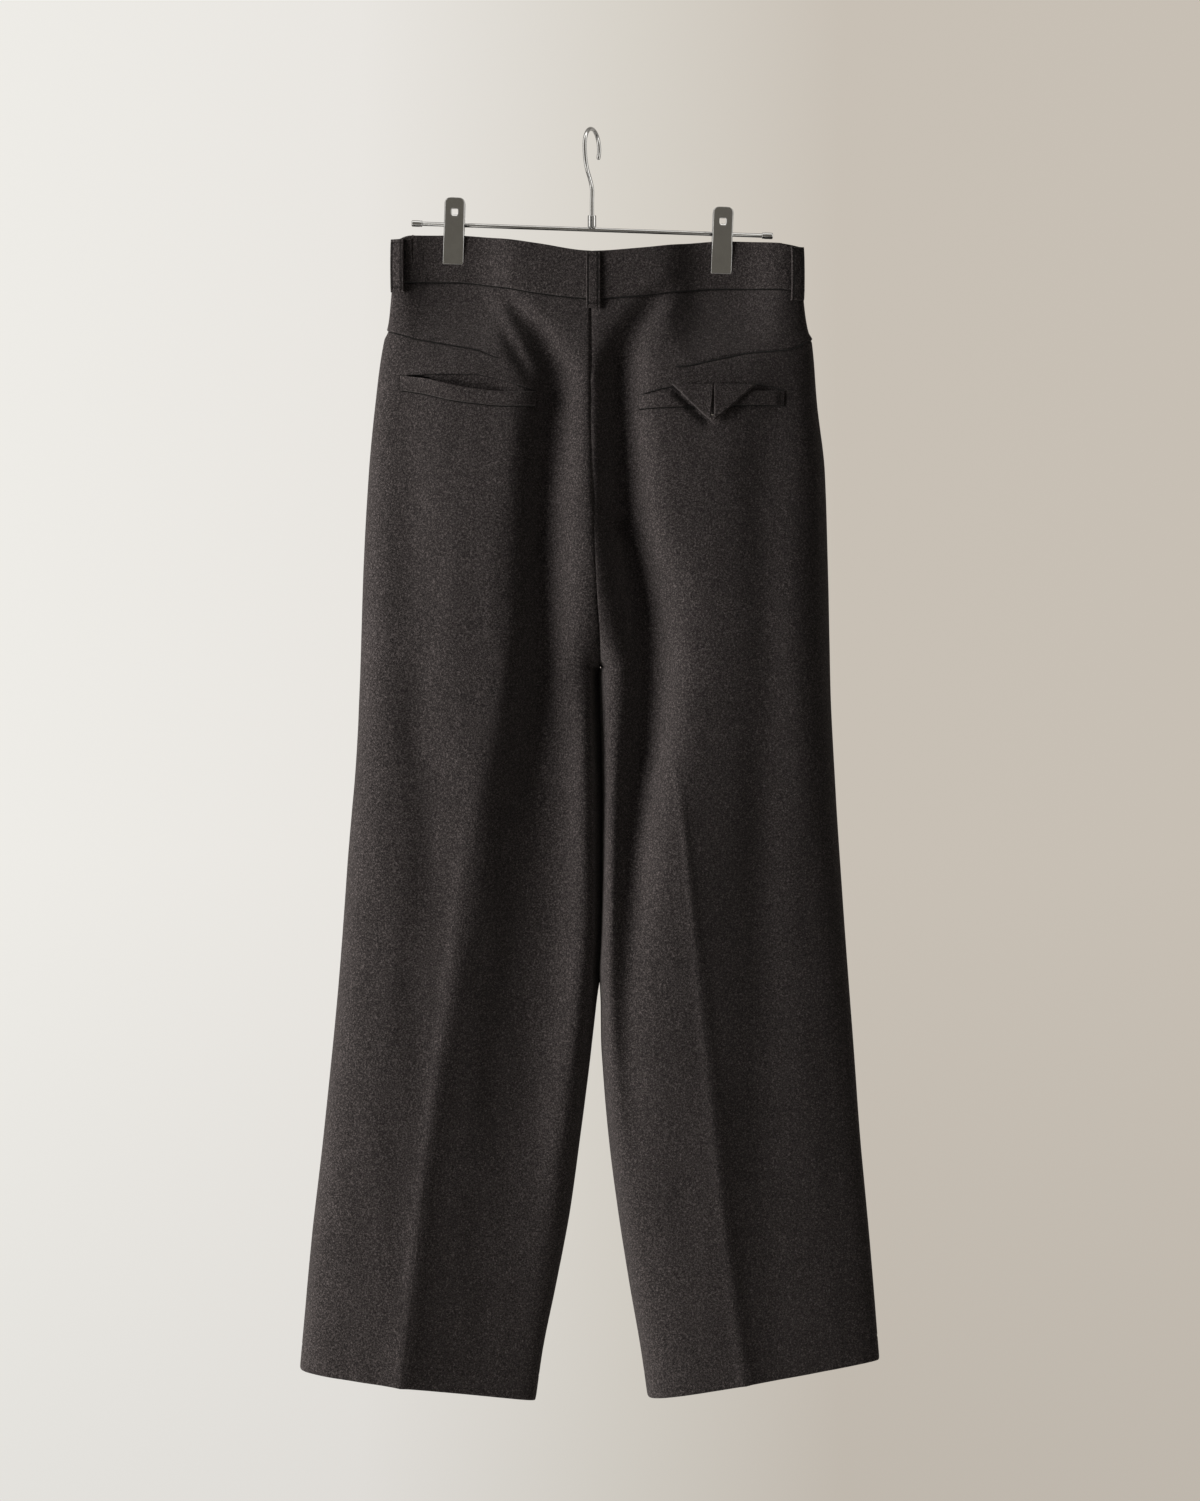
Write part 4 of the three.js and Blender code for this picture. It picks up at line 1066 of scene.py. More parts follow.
def hanging_grid(start, length, tall, edge, above=0.0, fine=0.9):
    """Distances along and down a strip that hangs from an edge's line, with its grid of x and z."""
    u = places(length, 1.4)
    v = places(tall, fine)
    x = np.broadcast_to(start + u[None, :], (len(v), len(u)))
    return u, v, x, value_at(edge, "z", x) + above - v[:, None]


SEAM_THREAD = {"face": 0.5, "side": 0.6, "end": 0.65}
DART_SEAM_X = {LEFT: (-186.0, -86.0), RIGHT: (77.0, 197.0)}
BAND_SEAM_X = (1.0, 176.0)


def sewn(name, path, radius, material=None, sides=6):
    """A tube of thread along a path. By default it uses the near-black seam thread, whose darkness is painted
    shade as well as thread.
    """
    added(tube_object(name, path, radius, material or painted_shade_seam_thread, sides=sides))


def seam_line(name, face, side, x, z, out=0.1, radius=SEAM_THREAD["face"]):
    """A near-black thread along a seam, half sunk between the two layers that it joins. Its darkness is
    painted shade for the seam's groove as well as the thread.
    """
    sewn("seam_" + name, cloth_points(face, side, x, z, out), radius)


def panel_seams(side):
    """The seams of one side's darts and waistband, and its side seam. They are in near-black thread, which is
    painted shade along each seam as well as thread.
    """
    name = SIDE_NAME[side]
    x = np.linspace(*DART_SEAM_X[side], 80)
    seam_line("dart_" + name, BACK, side, x, value_at(DART_LINES[side], "z", x))
    for face in (BACK, FRONT):
        x = side * np.linspace(*BAND_SEAM_X, 140)
        z = waist_z(face, "seam", x) - 0.6
        seam_line("band_" + FACE_NAME[face] + "_" + name, face, side, x, z, 0.0)
    hem_end = HEMS[side]["inner_z"] + HEMS[side]["rise"] * HEM_FLAT_WIDTH
    z = np.linspace(BAND_SEAM_Z - 2, hem_end + 3, 260)
    x = value_at(OUTLINE, name, z) - side * 0.9
    sewn("seam_side_" + name, np.stack([x, 0 * z, z], axis=-1), SEAM_THREAD["side"])


def pocket_seams():
    """The lines round the two back pockets' welts. They are in near-black thread, which is painted shade
    along the welts' edges as well as thread.
    """
    x = np.linspace(LEFT_WELT_ENDS[0] + 1, LEFT_WELT_ENDS[1], 90)
    z = value_at(LEFT_WELT_EDGE, "z", x) - WELT_HEIGHT - 0.3
    seam_line("welt_left", BACK, LEFT, x, z)
    seam_line("lip_left", BACK, LEFT, x, value_at(LEFT_LIP_EDGE, "z", x) + 0.2, 0.0)
    inner_end, outer_end = RIGHT_WELT_ENDS[0], RIGHT_WELT_ENDS[1] - 1
    x = np.linspace(inner_end, outer_end, 90)
    low = value_at(RIGHT_WELT_EDGE, "z", x) - WELT_HEIGHT
    seam_line("welt_right", BACK, RIGHT, x, low - 0.3)
    seam_line("lip_right", BACK, RIGHT, x, value_at(RIGHT_LIP_EDGE, "z", x))
    for name, end in (("inner", inner_end), ("outer", outer_end)):
        top = float(value_at(RIGHT_LIP_EDGE, "z", end))
        z = np.linspace(top, float(value_at(RIGHT_WELT_EDGE, "z", end)) - WELT_HEIGHT, 12)
        x = end - 0.7 + 0 * z
        seam_line("welt_right_" + name, BACK, RIGHT, x, z, 0.3, SEAM_THREAD["end"])


# Left back pocket: the welt stands away from the mouth, under a rolled lip

WELT_CLOTH = {LEFT: 2.6, RIGHT: 2.4}
LIP = {"start": -171.0, "length": 119.0, "tall": 6.5, "cloth": 1.9, "sunk": -1.9, "rise": 1.5}


def left_pocket():
    u, v, x, z = hanging_grid(LEFT_WELT_ENDS[0], np.ptp(LEFT_WELT_ENDS), WELT_HEIGHT, LEFT_WELT_EDGE)
    share = v[:, None] / WELT_HEIGHT
    gape = MOUTH_GAPE * (1 - share) ** 2 * groove(x - MOUTH_X, 1.0, MOUTH_REACH)
    dents = groove(v[:, None] - WELT_STITCH, **STITCH_GROOVE) + 0 * x
    name = "welt_left_cloth"
    welt = strip_on_cloth(name, BACK, LEFT, x, z, u, v, 0.6 + gape, WELT_CLOTH[LEFT], dents)
    declare(welt, "welt_left")

    tall = LIP["tall"]
    u, v, x, z = hanging_grid(LIP["start"], LIP["length"], tall, LEFT_LIP_EDGE, tall, 0.8)
    lift = LIP["sunk"] + LIP["rise"] * (smooth(0, tall, v[:, None]) + 0 * x)
    lip = strip_on_cloth("pocket_lip_left_cloth", BACK, LEFT, x, z, u, v, lift, LIP["cloth"])
    declare(lip, "pocket_lip_left")


# Right back pocket: a closed welt, and a flap whose corners are folded to one point

WELT_TAPER = 1.8
WELT_TAPER_X = (166.0, 175.0)
FLAP_TOP_Z = -238.0
FLAP_HALF_WIDTH = 37.5
FLAP_CENTRE_X = 110.5
FLAP_WEDGE = 9.0
FLAP_FOLD_SLOPE = 0.67
FLAP_LIFT = 3.1
FLAP_CLOTH = 2.3
FLAP_STITCH_OUT = 7.4
FLAP_HALVES = {LEFT: "flap_right_inner", RIGHT: "flap_right_outer"}


def right_pocket():
    length = np.ptp(RIGHT_WELT_ENDS)
    u, v, x, z = hanging_grid(RIGHT_WELT_ENDS[0], length, WELT_HEIGHT, RIGHT_WELT_EDGE)
    dents = groove(v[:, None] - WELT_STITCH, **STITCH_GROOVE) + 0 * x
    thickness = WELT_CLOTH[RIGHT] - WELT_TAPER * smooth(*WELT_TAPER_X, x)
    lift = 0.4 + under_flap(x, z)
    welt = strip_on_cloth("welt_right_cloth", BACK, RIGHT, x, z, u, v, lift, thickness, dents)
    declare(welt, "welt_right")
    for side in (LEFT, RIGHT):
        flap_half(side)


def flap_half(side):
    """Half of the folded flap: a triangle whose long edge is the fold down to the point."""
    tall = FLAP_TOP_Z - FLAP_POINT[1]
    t = places(tall, 1.0)[:, None] / tall
    w = places(FLAP_HALF_WIDTH, 1.1)[None, :] / FLAP_HALF_WIDTH
    z = FLAP_TOP_Z - tall * t + 0 * w
    half_slit = 0.3 + FLAP_WEDGE * t**3 * (1 - t)
    slit = FLAP_CENTRE_X + (FLAP_POINT[0] - FLAP_CENTRE_X) * t + side * half_slit
    width = np.maximum(FLAP_HALF_WIDTH * (1 - t), 1.0)
    x = slit + side * width * w
    slit_away = width * w
    fold_away = width * (1 - w) * FLAP_FOLD_SLOPE
    from_edge = np.minimum(slit_away, np.minimum(fold_away, tall * t + 0.6))
    lift = FLAP_LIFT + 0.6 * t + dip(slit_away, 0.8, 5)
    outer = cloth_points(BACK, RIGHT, x, z, lift + FLAP_CLOTH * crowned(from_edge, 1.3))
    inner = cloth_points(BACK, RIGHT, x, z, lift)
    node = FLAP_HALVES[side]
    flap = wall_object(node + "_cloth", outer, inner, wool)
    declare(flap, node)


def flap_stitch():
    """The light end of a thread where the flap's two folds meet."""
    x = np.array([108.3, 108.8, 109.3, 109.8])
    z = np.array([-266.6, -267.1, -267.2, -266.8])
    path = cloth_points(BACK, RIGHT, x, z, FLAP_STITCH_OUT)
    sewn("flap_stitch", path, 0.4, light_thread, sides=8)


# Waistband

BAND_TURN_X = 172.0
BAND_RISE = 1.3
BAND_HEIGHT = 43.0
BAND_WAVE = {"rise": 0.5, "length": 60}
BAND_PUCKER = {"rise": 0.22, "length": 1.9, "reach": 5}
OVERLAP = 34.0
OVERLAP_JOG = 3.0


def band_points(face, side, x, share):
    """Points of the waistband's outer face, with share 0 at its top edge and 1 at its seam."""
    top = waist_z(face, "top", x)
    z = top + share * (waist_z(face, "seam", x) - top)
    level = half_ring(side, np.full_like(x, BAND_SEAM_Z))
    ring = half_ring(side, z)
    u = across(side, level, x)
    held = np.where(u > 0.9, ring[2] + side * ring[3] * u, x)
    return np.stack([held, skin_y(face, side, ring, held, z), z], axis=-1)


def band_blocks(side, share):
    """The band's outer face: along the back, round the hip and along the front."""
    centre = side * SEAM_GAP / 2
    along_back = np.concatenate([[0, 0.5, 1.1, 2.0, 3.2], np.linspace(5, BAND_TURN_X, 104)])
    straight = centre + side * along_back
    level = half_ring(side, np.array([BAND_SEAM_Z]))
    start = angle_of(across(side, level, np.array([side * BAND_TURN_X])))[0]
    angles = start + (2 * math.pi - 2 * start) * np.linspace(0, 1, 40)[1:-1]
    turn_x = level[2] + side * level[3] * across_at_angle(angles)
    back_turn = angles <= math.pi
    front = straight[::-1]
    if side == RIGHT:
        front = front[side * front > OVERLAP_JOG + 1]
    stretches = ((BACK, straight), (BACK, turn_x[back_turn]), (FRONT, turn_x[~back_turn]), (FRONT, front))
    blocks = [band_points(face, side, x[None, :] + 0 * share, share) for face, x in stretches]
    return np.concatenate(blocks, axis=1)


def waistband(side):
    share = (places(BAND_HEIGHT, 1.6) / BAND_HEIGHT)[:, None]
    outer = band_blocks(side, share)
    normals = grid_normals(outer, -side)
    inner = outer - normals * BAND_CLOTH
    along = row_lengths(outer)
    edge = np.minimum(share, 1 - share) * BAND_HEIGHT
    relief = BAND_RISE - 1.1 * (1 - edge_round(edge, 1.4)) - dip(along, 0.7, 1.4)
    uneven = noise_field(along + 400 * side, outer[..., 2] * 2.2, 12 + side, BAND_WAVE["length"])
    pucker = np.sin(along / BAND_PUCKER["length"])
    from_seam = (1 - share) * BAND_HEIGHT
    relief = relief + BAND_WAVE["rise"] * uneven
    relief = relief + dip(from_seam, BAND_PUCKER["rise"], BAND_PUCKER["reach"]) * pucker
    outer = outer + normals * relief[..., None]
    centre = side * SEAM_GAP / 2
    for points in (outer, inner):
        crossing = side * (points[..., 0] - centre) < 0
        points[..., 0] = np.where(crossing, centre, points[..., 0])
    if side == LEFT:
        outer, inner = with_overlap(outer, inner, share)
    name = SIDE_NAME[side]
    band = wall_object("waistband_" + name + "_cloth", outer, inner, band_wool)
    declare(band, "waistband_" + name)


def with_overlap(outer, inner, share):
    """The left half's front end passes over the right half, where the button closes it."""
    along = np.linspace(OVERLAP_JOG + 2, OVERLAP - 1.4, 16)
    x = np.concatenate([[OVERLAP_JOG], along, [OVERLAP - 0.7, OVERLAP]])
    on = band_points(FRONT, RIGHT, x[None, :] + 0 * share, share)
    edge = np.minimum(np.minimum(share, 1 - share) * BAND_HEIGHT, (OVERLAP - x)[None, :])
    rise = BAND_CLOTH + 0.3 - 0.9 * (1 - edge_round(edge, 1.5))
    forward = np.array([0.0, 1.0, 0.0])
    over, under = on + forward * rise[..., None], on + forward * 0.3
    return np.concatenate([outer, over], axis=1), np.concatenate([inner, under], axis=1)


# Belt loops

LOOP_WIDTH = 13.0
LOOP_CLOTH = 2.0
LOOP_DROP = 9.5
LOOP_SEAT = 0.8
LOOP_STITCH = 2.0
LOOP_GROOVE = {"depth": 0.8, "width": 0.7}
TACK_FROM_END = 4.0
LOOPS = [
    {"node": "loop_back", "side": RIGHT, "face": BACK, "x": 1.2, "arch": 1.6},
    {"node": "loop_side_left", "side": LEFT, "face": BACK, "x": -178.0, "arch": 1.8},
    {"node": "loop_side_right", "side": RIGHT, "face": BACK, "x": 188.0, "arch": 1.8},
    {"node": "loop_front_left", "side": LEFT, "face": FRONT, "x": -66.0, "arch": 1.6},
    {"node": "loop_front_right", "side": RIGHT, "face": FRONT, "x": 66.0, "arch": 1.6},
]


def belt_loop(loop):
    face, side, x = loop["face"], loop["side"], loop["x"]
    top = float(waist_z(face, "top", np.array(x))) - 1
    end = float(waist_z(face, "seam", np.array(x))) - LOOP_DROP
    tall = top - end
    v = places(tall, 1.3)
    z = top - v
    point = skin_point(face, side, x, z)
    tangent = unit(skin_point(face, side, x + side, z) - skin_point(face, side, x - side, z))
    normal = np.stack([-tangent[:, 1], tangent[:, 0], 0 * z], axis=-1) * side * face
    lift = LOOP_SEAT + loop["arch"] * np.sqrt(np.sin(math.pi * v / tall).clip(0))
    u = places(LOOP_WIDTH, 0.7, edge=(0.0, 0.2, 0.5, 0.9, 1.3))
    from_side = np.minimum(u, LOOP_WIDTH - u)[None, :]
    from_end = np.minimum(v, tall - v)[:, None]
    thick = crowned(np.minimum(from_side, from_end), 1.0)
    height = LOOP_CLOTH * thick - groove(from_side - LOOP_STITCH, **LOOP_GROOVE)
    flat = point[:, None, :] + tangent[:, None, :] * (u[None, :, None] - LOOP_WIDTH / 2)
    inner = flat + normal[:, None, :] * lift[:, None, None]
    outer = flat + normal[:, None, :] * (lift[:, None] + height)[..., None]
    obj = wall_object(loop["node"] + "_cloth", outer, inner, band_wool)
    declare(obj, loop["node"])
    # The edge stitches use the near-black seam thread. It is painted shade along the stitch grooves as well
    # as thread.
    for edge in (LOOP_STITCH, LOOP_WIDTH - LOOP_STITCH):
        out = (lift + LOOP_CLOTH - 0.55)[:, None]
        path = (point + tangent * (edge - LOOP_WIDTH / 2) + normal * out)[5:-5]
        name = "stitch_" + loop["node"] + ("_outer" if edge > LOOP_STITCH else "_inner")
        sewn(name, path, 0.42)
    for end, where in (("_top", TACK_FROM_END), ("_end", tall - TACK_FROM_END)):
        height = float(np.interp(where, v, lift)) + LOOP_CLOTH - 0.15
        at, along, out = (
            np.array([np.interp(where, v, grid[:, k]) for k in range(3)]) for grid in (point, tangent, normal)
        )
        sewn("tack_" + loop["node"] + end, tack_path(at + out * height, along), 0.32, thread)


def tack_path(at, along):
    """A close row of zigzag thread across the loop."""
    reach = LOOP_WIDTH / 2 - 1.2
    zigzag = [np.array([0, 0, -0.8]), np.array([0, 0, 0.8])]
    return np.array([at + along * s + zigzag[k % 2] for k, s in enumerate(np.linspace(-reach, reach, 22))])


# Tubes and solids of revolution


def tube_object(name, path, radius, material, sides):
    """A closed tube with round ends along a path in millimetres."""
    turns = np.radians([75, 50, 25])
    first, last = unit(path[0] - path[1]), unit(path[-1] - path[-2])
    start = [path[0] + first * radius * math.sin(a) for a in turns]
    end = [path[-1] + last * radius * math.sin(a) for a in turns[::-1]]
    middle = np.full(len(path), float(radius))
    path = np.concatenate([start, path, end])
    radii = np.concatenate([radius * np.cos(turns), middle, radius * np.cos(turns[::-1])])
    tangents = unit(np.gradient(path, axis=0))
    guide = np.array([0.0, 0.0, 1.0]) if abs(tangents[0][2]) < 0.9 else np.array([1.0, 0.0, 0.0])
    rings = []
    for tangent, centre, r in zip(tangents, path, radii):
        guide = unit(guide - tangent * guide.dot(tangent))
        rings.append(centre + r * circle_round(tangent, guide, sides))
    return ring_object(name, np.array(rings), material)


def circle_round(axis, guide, sides):
    """Points of a unit circle across an axis, from the guide's direction on."""
    angles = np.arange(sides) * math.tau / sides
    return np.cos(angles)[:, None] * guide + np.sin(angles)[:, None] * np.cross(axis, guide)


def ring_object(name, rings, material):
    """A closed skin over rings of points; the ends are fans of thin quads to their centres."""
    sides = rings.shape[1]
    start, end = (ring.mean(axis=1, keepdims=True).repeat(sides, 1) for ring in (rings[:1], rings[-1:]))
    rings = np.concatenate([start, rings, end])
    count = len(rings)
    points = rings.reshape(-1, 3)
    j, i = np.meshgrid(np.arange(count - 1) * sides, np.arange(sides), indexing="ij")
    following = (i + 1) % sides
    quads = np.stack([j + i, j + following, j + sides + following, j + sides + i], axis=-1).reshape(-1, 4)
    if volume_of(points, quads) < 0:
        quads = quads[:, ::-1]
    around = np.tile(np.arange(sides) / sides, count)
    along = np.repeat(np.arange(count), sides) / count
    obj = mesh_object(name, points, quads, np.stack([around, along], axis=-1) * 0.1, material)
    weld_points(obj)
    return obj


def weld_points(obj):
    work = bmesh.new()
    work.from_mesh(obj.data)
    bmesh.ops.remove_doubles(work, verts=work.verts, dist=1e-7)
    work.to_mesh(obj.data)
    work.free()
    obj.data.polygons.foreach_set("use_smooth", np.ones(len(obj.data.polygons), bool))


def revolved_object(name, origin, axis, profile, material, sides=40):
    """A solid of revolution; the profile gives radius and distance along the axis, in millimetres."""
    axis = unit(np.asarray(axis, float))
    upward = np.array([0.0, 0.0, 1.0])
    circle = circle_round(axis, unit(upward - axis * upward.dot(axis)), sides)
    rings = np.array([origin + axis * along + r * circle for r, along in profile])
    return ring_object(name, rings, material)


# The front: slant pocket edges, fly, zip and waist button

SIDE_POCKET_TOP = (158.0, -166.0)
SIDE_POCKET_END = (188.0, -318.0)
SIDE_POCKET_EDGE = 9.0
STRIP_CLOTH = 1.5


def side_pocket(side):
    """The stitched edge of a slant pocket's mouth."""
    run = SIDE_POCKET_END[0] - SIDE_POCKET_TOP[0]
    fall = SIDE_POCKET_END[1] - SIDE_POCKET_TOP[1]
    length = math.hypot(run, fall)
    v = places(length, 1.8)
    u = places(SIDE_POCKET_EDGE, 0.8)
    t = v[:, None] / length
    x = side * (SIDE_POCKET_TOP[0] + run * t - u[None, :])
    z = SIDE_POCKET_TOP[1] + fall * t + 0 * u[None, :]
    dents = groove(u[None, :] - (SIDE_POCKET_EDGE - 2), **STITCH_GROOVE) + 0 * z
    node = "pocket_edge_" + SIDE_NAME[side]
    edge = strip_on_cloth(node + "_cloth", FRONT, side, x, z, u, v, 0.5, STRIP_CLOTH, dents)
    declare(edge, node)


FLY_END_Z = -338.0
FLY_WIDTH = 36.0
FLY_CURVE = 46.0


def fly_placket():
    """The stitched facing of the fly, curved in to the seam at its end."""
    top = float(waist_z(FRONT, "seam", np.array(-10.0))) - 1
    tall = top - FLY_END_Z
    v = places(tall, 1.8)
    u = places(FLY_WIDTH, 1.3)
    z = top - v[:, None] + 0 * u[None, :]
    into_curve = np.clip((FLY_END_Z + FLY_CURVE - z) / FLY_CURVE, 0, 1)
    width = np.maximum(FLY_WIDTH * np.sqrt(1 - into_curve**2), 2.5)
    share = u[None, :] / FLY_WIDTH
    x = value_at(CENTRE_SEAM, "x", z) - 0.6 - width * share
    dents = groove(width * (1 - share) - 4.0, 0.5, 0.7)
    placket = strip_on_cloth("fly_placket_cloth", FRONT, LEFT, x, z, u, v, 0.4, STRIP_CLOTH, dents)
    declare(placket, "fly_placket")


ZIP_HALF_WIDTH = 12.0
ZIP_CLOTH = 1.2
ZIP_BACKSET = CLOTH + 1.1
ZIP_SPACING = 1.6


def behind_fly(x, z, back):
    """Points behind the front's outer face, on whichever side of its seam they lie."""
    left = skin_point(FRONT, LEFT, x, z)
    right = skin_point(FRONT, RIGHT, x, z)
    point = np.where((x < value_at(CENTRE_SEAM, "x", z))[..., None], left, right)
    return point - np.array([0.0, 1.0, 0.0]) * np.asarray(back)[..., None]


def fly_zip():
    """A tape with a row of teeth down its middle."""
    top = float(waist_z(FRONT, "seam", np.array(0.0))) - 4
    tall = top - (FLY_END_Z + 16)
    v = np.arange(0, tall, ZIP_SPACING / 4)
    half = np.array([0.08, 0.2, 0.22, 0.6, 1])
    w = np.concatenate([-half[::-1], half])
    z = top - v[:, None] + 0 * w[None, :]
    x = value_at(CENTRE_SEAM, "x", z) + w[None, :] * ZIP_HALF_WIDTH
    tooth = (np.sin(v * math.tau / ZIP_SPACING) > 0)[:, None] & (np.abs(w) < 0.21)[None, :]
    outer = behind_fly(x, z, ZIP_BACKSET - 0.5 * tooth)
    inner = behind_fly(x, z, ZIP_BACKSET + ZIP_CLOTH + 0 * x)
    zip_tape = wall_object("fly_zip_tape", outer, inner, tape)
    declare(zip_tape, "fly_zip")


SLIDER_DROP = 14.0
SLIDER_METAL = 1.4
SLIDER = table(
    "down half",
    (0, 2.2),
    (0.8, 3.0),
    (8.0, 3.0),
    (8.6, 2.4),
    (22, 2.1),
    (24.6, 1.7),
    (26.0, 0.4),
)


def zip_slider():
    """The slider's body and its tapered pull, behind the fly."""
    top = float(waist_z(FRONT, "seam", np.array(0.0))) - SLIDER_DROP
    body = [0, 0.3, 0.8, 1.4, *np.linspace(2.2, 7.4, 5), 8.0]
    v = np.array([*body, *np.linspace(9, 22, 8), 23.4, 24.6, 25.4, 25.8, 26.0])
    half = np.interp(v, SLIDER["down"], SLIDER["half"])[:, None]
    w = np.array([-1, -0.93, -0.75, -0.3, 0.3, 0.75, 0.93, 1])
    back = np.array([ZIP_BACKSET + ZIP_CLOTH + 0.5])
    seat = behind_fly(np.array([value_at(CENTRE_SEAM, "x", top)]), np.array([top]), back)[0]
    x = seat[0] + half * w
    z = top - v[:, None] + 0 * x
    from_end = np.minimum(v, v[-1] - v)[:, None] + 0.1
    thin = 0.45 * (1 - edge_round(np.minimum(half * (1 - np.abs(w)), from_end), 0.5))
    outer = np.stack([x, seat[1] - thin, z], axis=-1)
    inner = np.stack([x, seat[1] - SLIDER_METAL + thin, z], axis=-1)
    metal(wall_object("zip_slider_body", outer, inner, chrome), "zip_slider")


BUTTON_RADIUS = 8.0
BUTTON_X = 17.0
BUTTON_OUT = BAND_CLOTH + 0.8


BUTTON = table(
    "along inset",
    (0.0, 1.6),
    (0.15, 0.7),
    (0.6, 0.2),
    (1.2, 0),
    (1.9, 0),
    (2.5, 0.25),
    (2.9, 0.8),
    (2.95, 1.4),
)
BUTTON_DISH = [(2.0, 2.7), (2.6, 2.3), (4.0, 2.05), (BUTTON_RADIUS - 0.6, 2.0)]


def waist_button():
    """A dished button with a rim, sewn on with a cross of thread."""
    on = band_points(FRONT, RIGHT, np.array([BUTTON_X]), np.array([0.5]))[0]
    place = on + np.array([0.0, BUTTON_OUT, 0.0])
    rim = list(zip(BUTTON["inset"], BUTTON["along"]))
    profile = [(BUTTON_RADIUS - inset, along) for inset, along in rim + BUTTON_DISH]
    button = revolved_object("waist_button_horn", place, (0, 1, 0), profile, horn, sides=56)
    declare(button, "waist_button")
    across_button = np.array([-1, -0.6, 0.6, 1])
    for k, slope in enumerate((1, -1)):
        rise = np.array([-0.6, 0.5, 0.5, -0.6])
        ends = np.stack([across_button, rise, slope * across_button], axis=-1)
        path = place + np.array([0.0, 2.0 + 0.3 * k, 0.0]) + ends * np.array([1.7, 0.68, 1.7])
        sewn("button_stitch_" + str(k), path, 0.45, light_thread, sides=8)


# The hanger

BAR_LEFT = np.array([-166.0, 0.0, -85.0])
BAR_RIGHT = np.array([166.5, 0.0, -96.6])
BAR_RADIUS = 2.0
CAP_LENGTH = 10.0
CAP_RADIUS = 3.0
CAP_GAP = 0.15
CAP = table(
    "along sunk",
    (0, 1.3),
    (0.2, 0.5),
    (0.7, 0.1),
    (1.4, 0),
    (7.6, 0),
    (8.2, 0.25),
    (8.6, 0.25),
    (9.0, 0),
    (9.7, 0.1),
    (CAP_LENGTH, 0.5),
)
FERRULE_RADIUS = 4.0
FERRULE_TOP = -77.7
FERRULE_BORE = 1.2
FERRULE_ROUND = 0.6
FERRULE_SPLIT_AT = math.radians(-98)
HALF_SPLIT = math.radians(8)
WIRE_RADIUS = 1.9
HOOK_RADIUS = 17.0
HOOK_TURN = math.radians(23)
HOOK_TIP_ANGLE = math.radians(205)
STEM_END_Z = -53.0
HOOK_BEND = [(4.6, -45), (11.5, -36.5), (15.6, -27)]
BAR_AXIS = unit(BAR_RIGHT - BAR_LEFT)
BAR_UP = np.array([-BAR_AXIS[2], 0.0, BAR_AXIS[0]])
FORWARD = np.array([0.0, 1.0, 0.0])


def on_bar(x):
    """The point of the bar's axis at x."""
    return np.array([x, 0.0, BAR_LEFT[2] + (x - BAR_LEFT[0]) * BAR_AXIS[2] / BAR_AXIS[0]])


def metal(obj, node):
    declare(obj, node)


def bar_and_caps():
    inset = CAP_LENGTH + CAP_GAP
    length = float(np.linalg.norm(BAR_RIGHT - BAR_LEFT)) - 2 * inset
    rod = [(BAR_RADIUS - 0.2, 0), (BAR_RADIUS, 0.2), (BAR_RADIUS, length - 0.2), (BAR_RADIUS - 0.2, length)]
    metal(revolved_object("bar_rod", BAR_LEFT + BAR_AXIS * inset, BAR_AXIS, rod, chrome), "hanger_bar")
    cap = [(CAP_RADIUS - sunk, along) for along, sunk in zip(CAP["along"], CAP["sunk"])]
    metal(revolved_object("cap_left", BAR_LEFT, BAR_AXIS, cap, chrome), "bar_cap_left")
    metal(revolved_object("cap_right", BAR_RIGHT, -BAR_AXIS, cap, chrome), "bar_cap_right")


def ferrule():
    """A rolled collar with a narrow split, seen at the front."""
    low = on_bar(0)[2] + BAR_RADIUS + CAP_GAP
    tall = FERRULE_TOP - low
    angles = FERRULE_SPLIT_AT + HALF_SPLIT + np.linspace(0, math.tau - 2 * HALF_SPLIT, 48)
    v = places(tall, 1.0, edge=(0.0, 0.15, 0.4, 0.8))
    round_off = edge_round(np.minimum(v, tall - v), 0.7)[:, None]
    radius = FERRULE_RADIUS - FERRULE_ROUND * (1 - round_off)
    z = (low + v)[:, None] + 0 * angles
    circle = np.stack([np.cos(angles) + 0 * z, np.sin(angles) + 0 * z], axis=-1)
    outer = np.concatenate([circle * radius[..., None], z[..., None]], axis=-1)
    inner = np.concatenate([circle * FERRULE_BORE, z[..., None]], axis=-1)
    metal(wall_object("ferrule_collar", outer, inner, chrome), "ferrule")


def hook():
    """The wire: up from the ferrule, out to one side and round the rail."""

    def in_plane(reach, z):
        return np.array([-reach * math.sin(HOOK_TURN), -reach * math.cos(HOOK_TURN), z])

    centre_z = WIRE_RADIUS - HOOK_RADIUS
    low = FERRULE_TOP + CAP_GAP
    stem = [(0, low), (0, (FERRULE_TOP + STEM_END_Z) / 2), (0, STEM_END_Z)]
    knots = [in_plane(reach, z) for reach, z in stem + HOOK_BEND]
    for angle in HOOK_TIP_ANGLE * np.arange(10) / 9:
        reach, rise = HOOK_RADIUS * math.cos(angle), HOOK_RADIUS * math.sin(angle)
        knots.append(in_plane(reach, centre_z + rise))
    path = smooth_path(np.array(knots), 12)
    metal(tube_object("hook_wire", path, WIRE_RADIUS, chrome, sides=20), "hook")


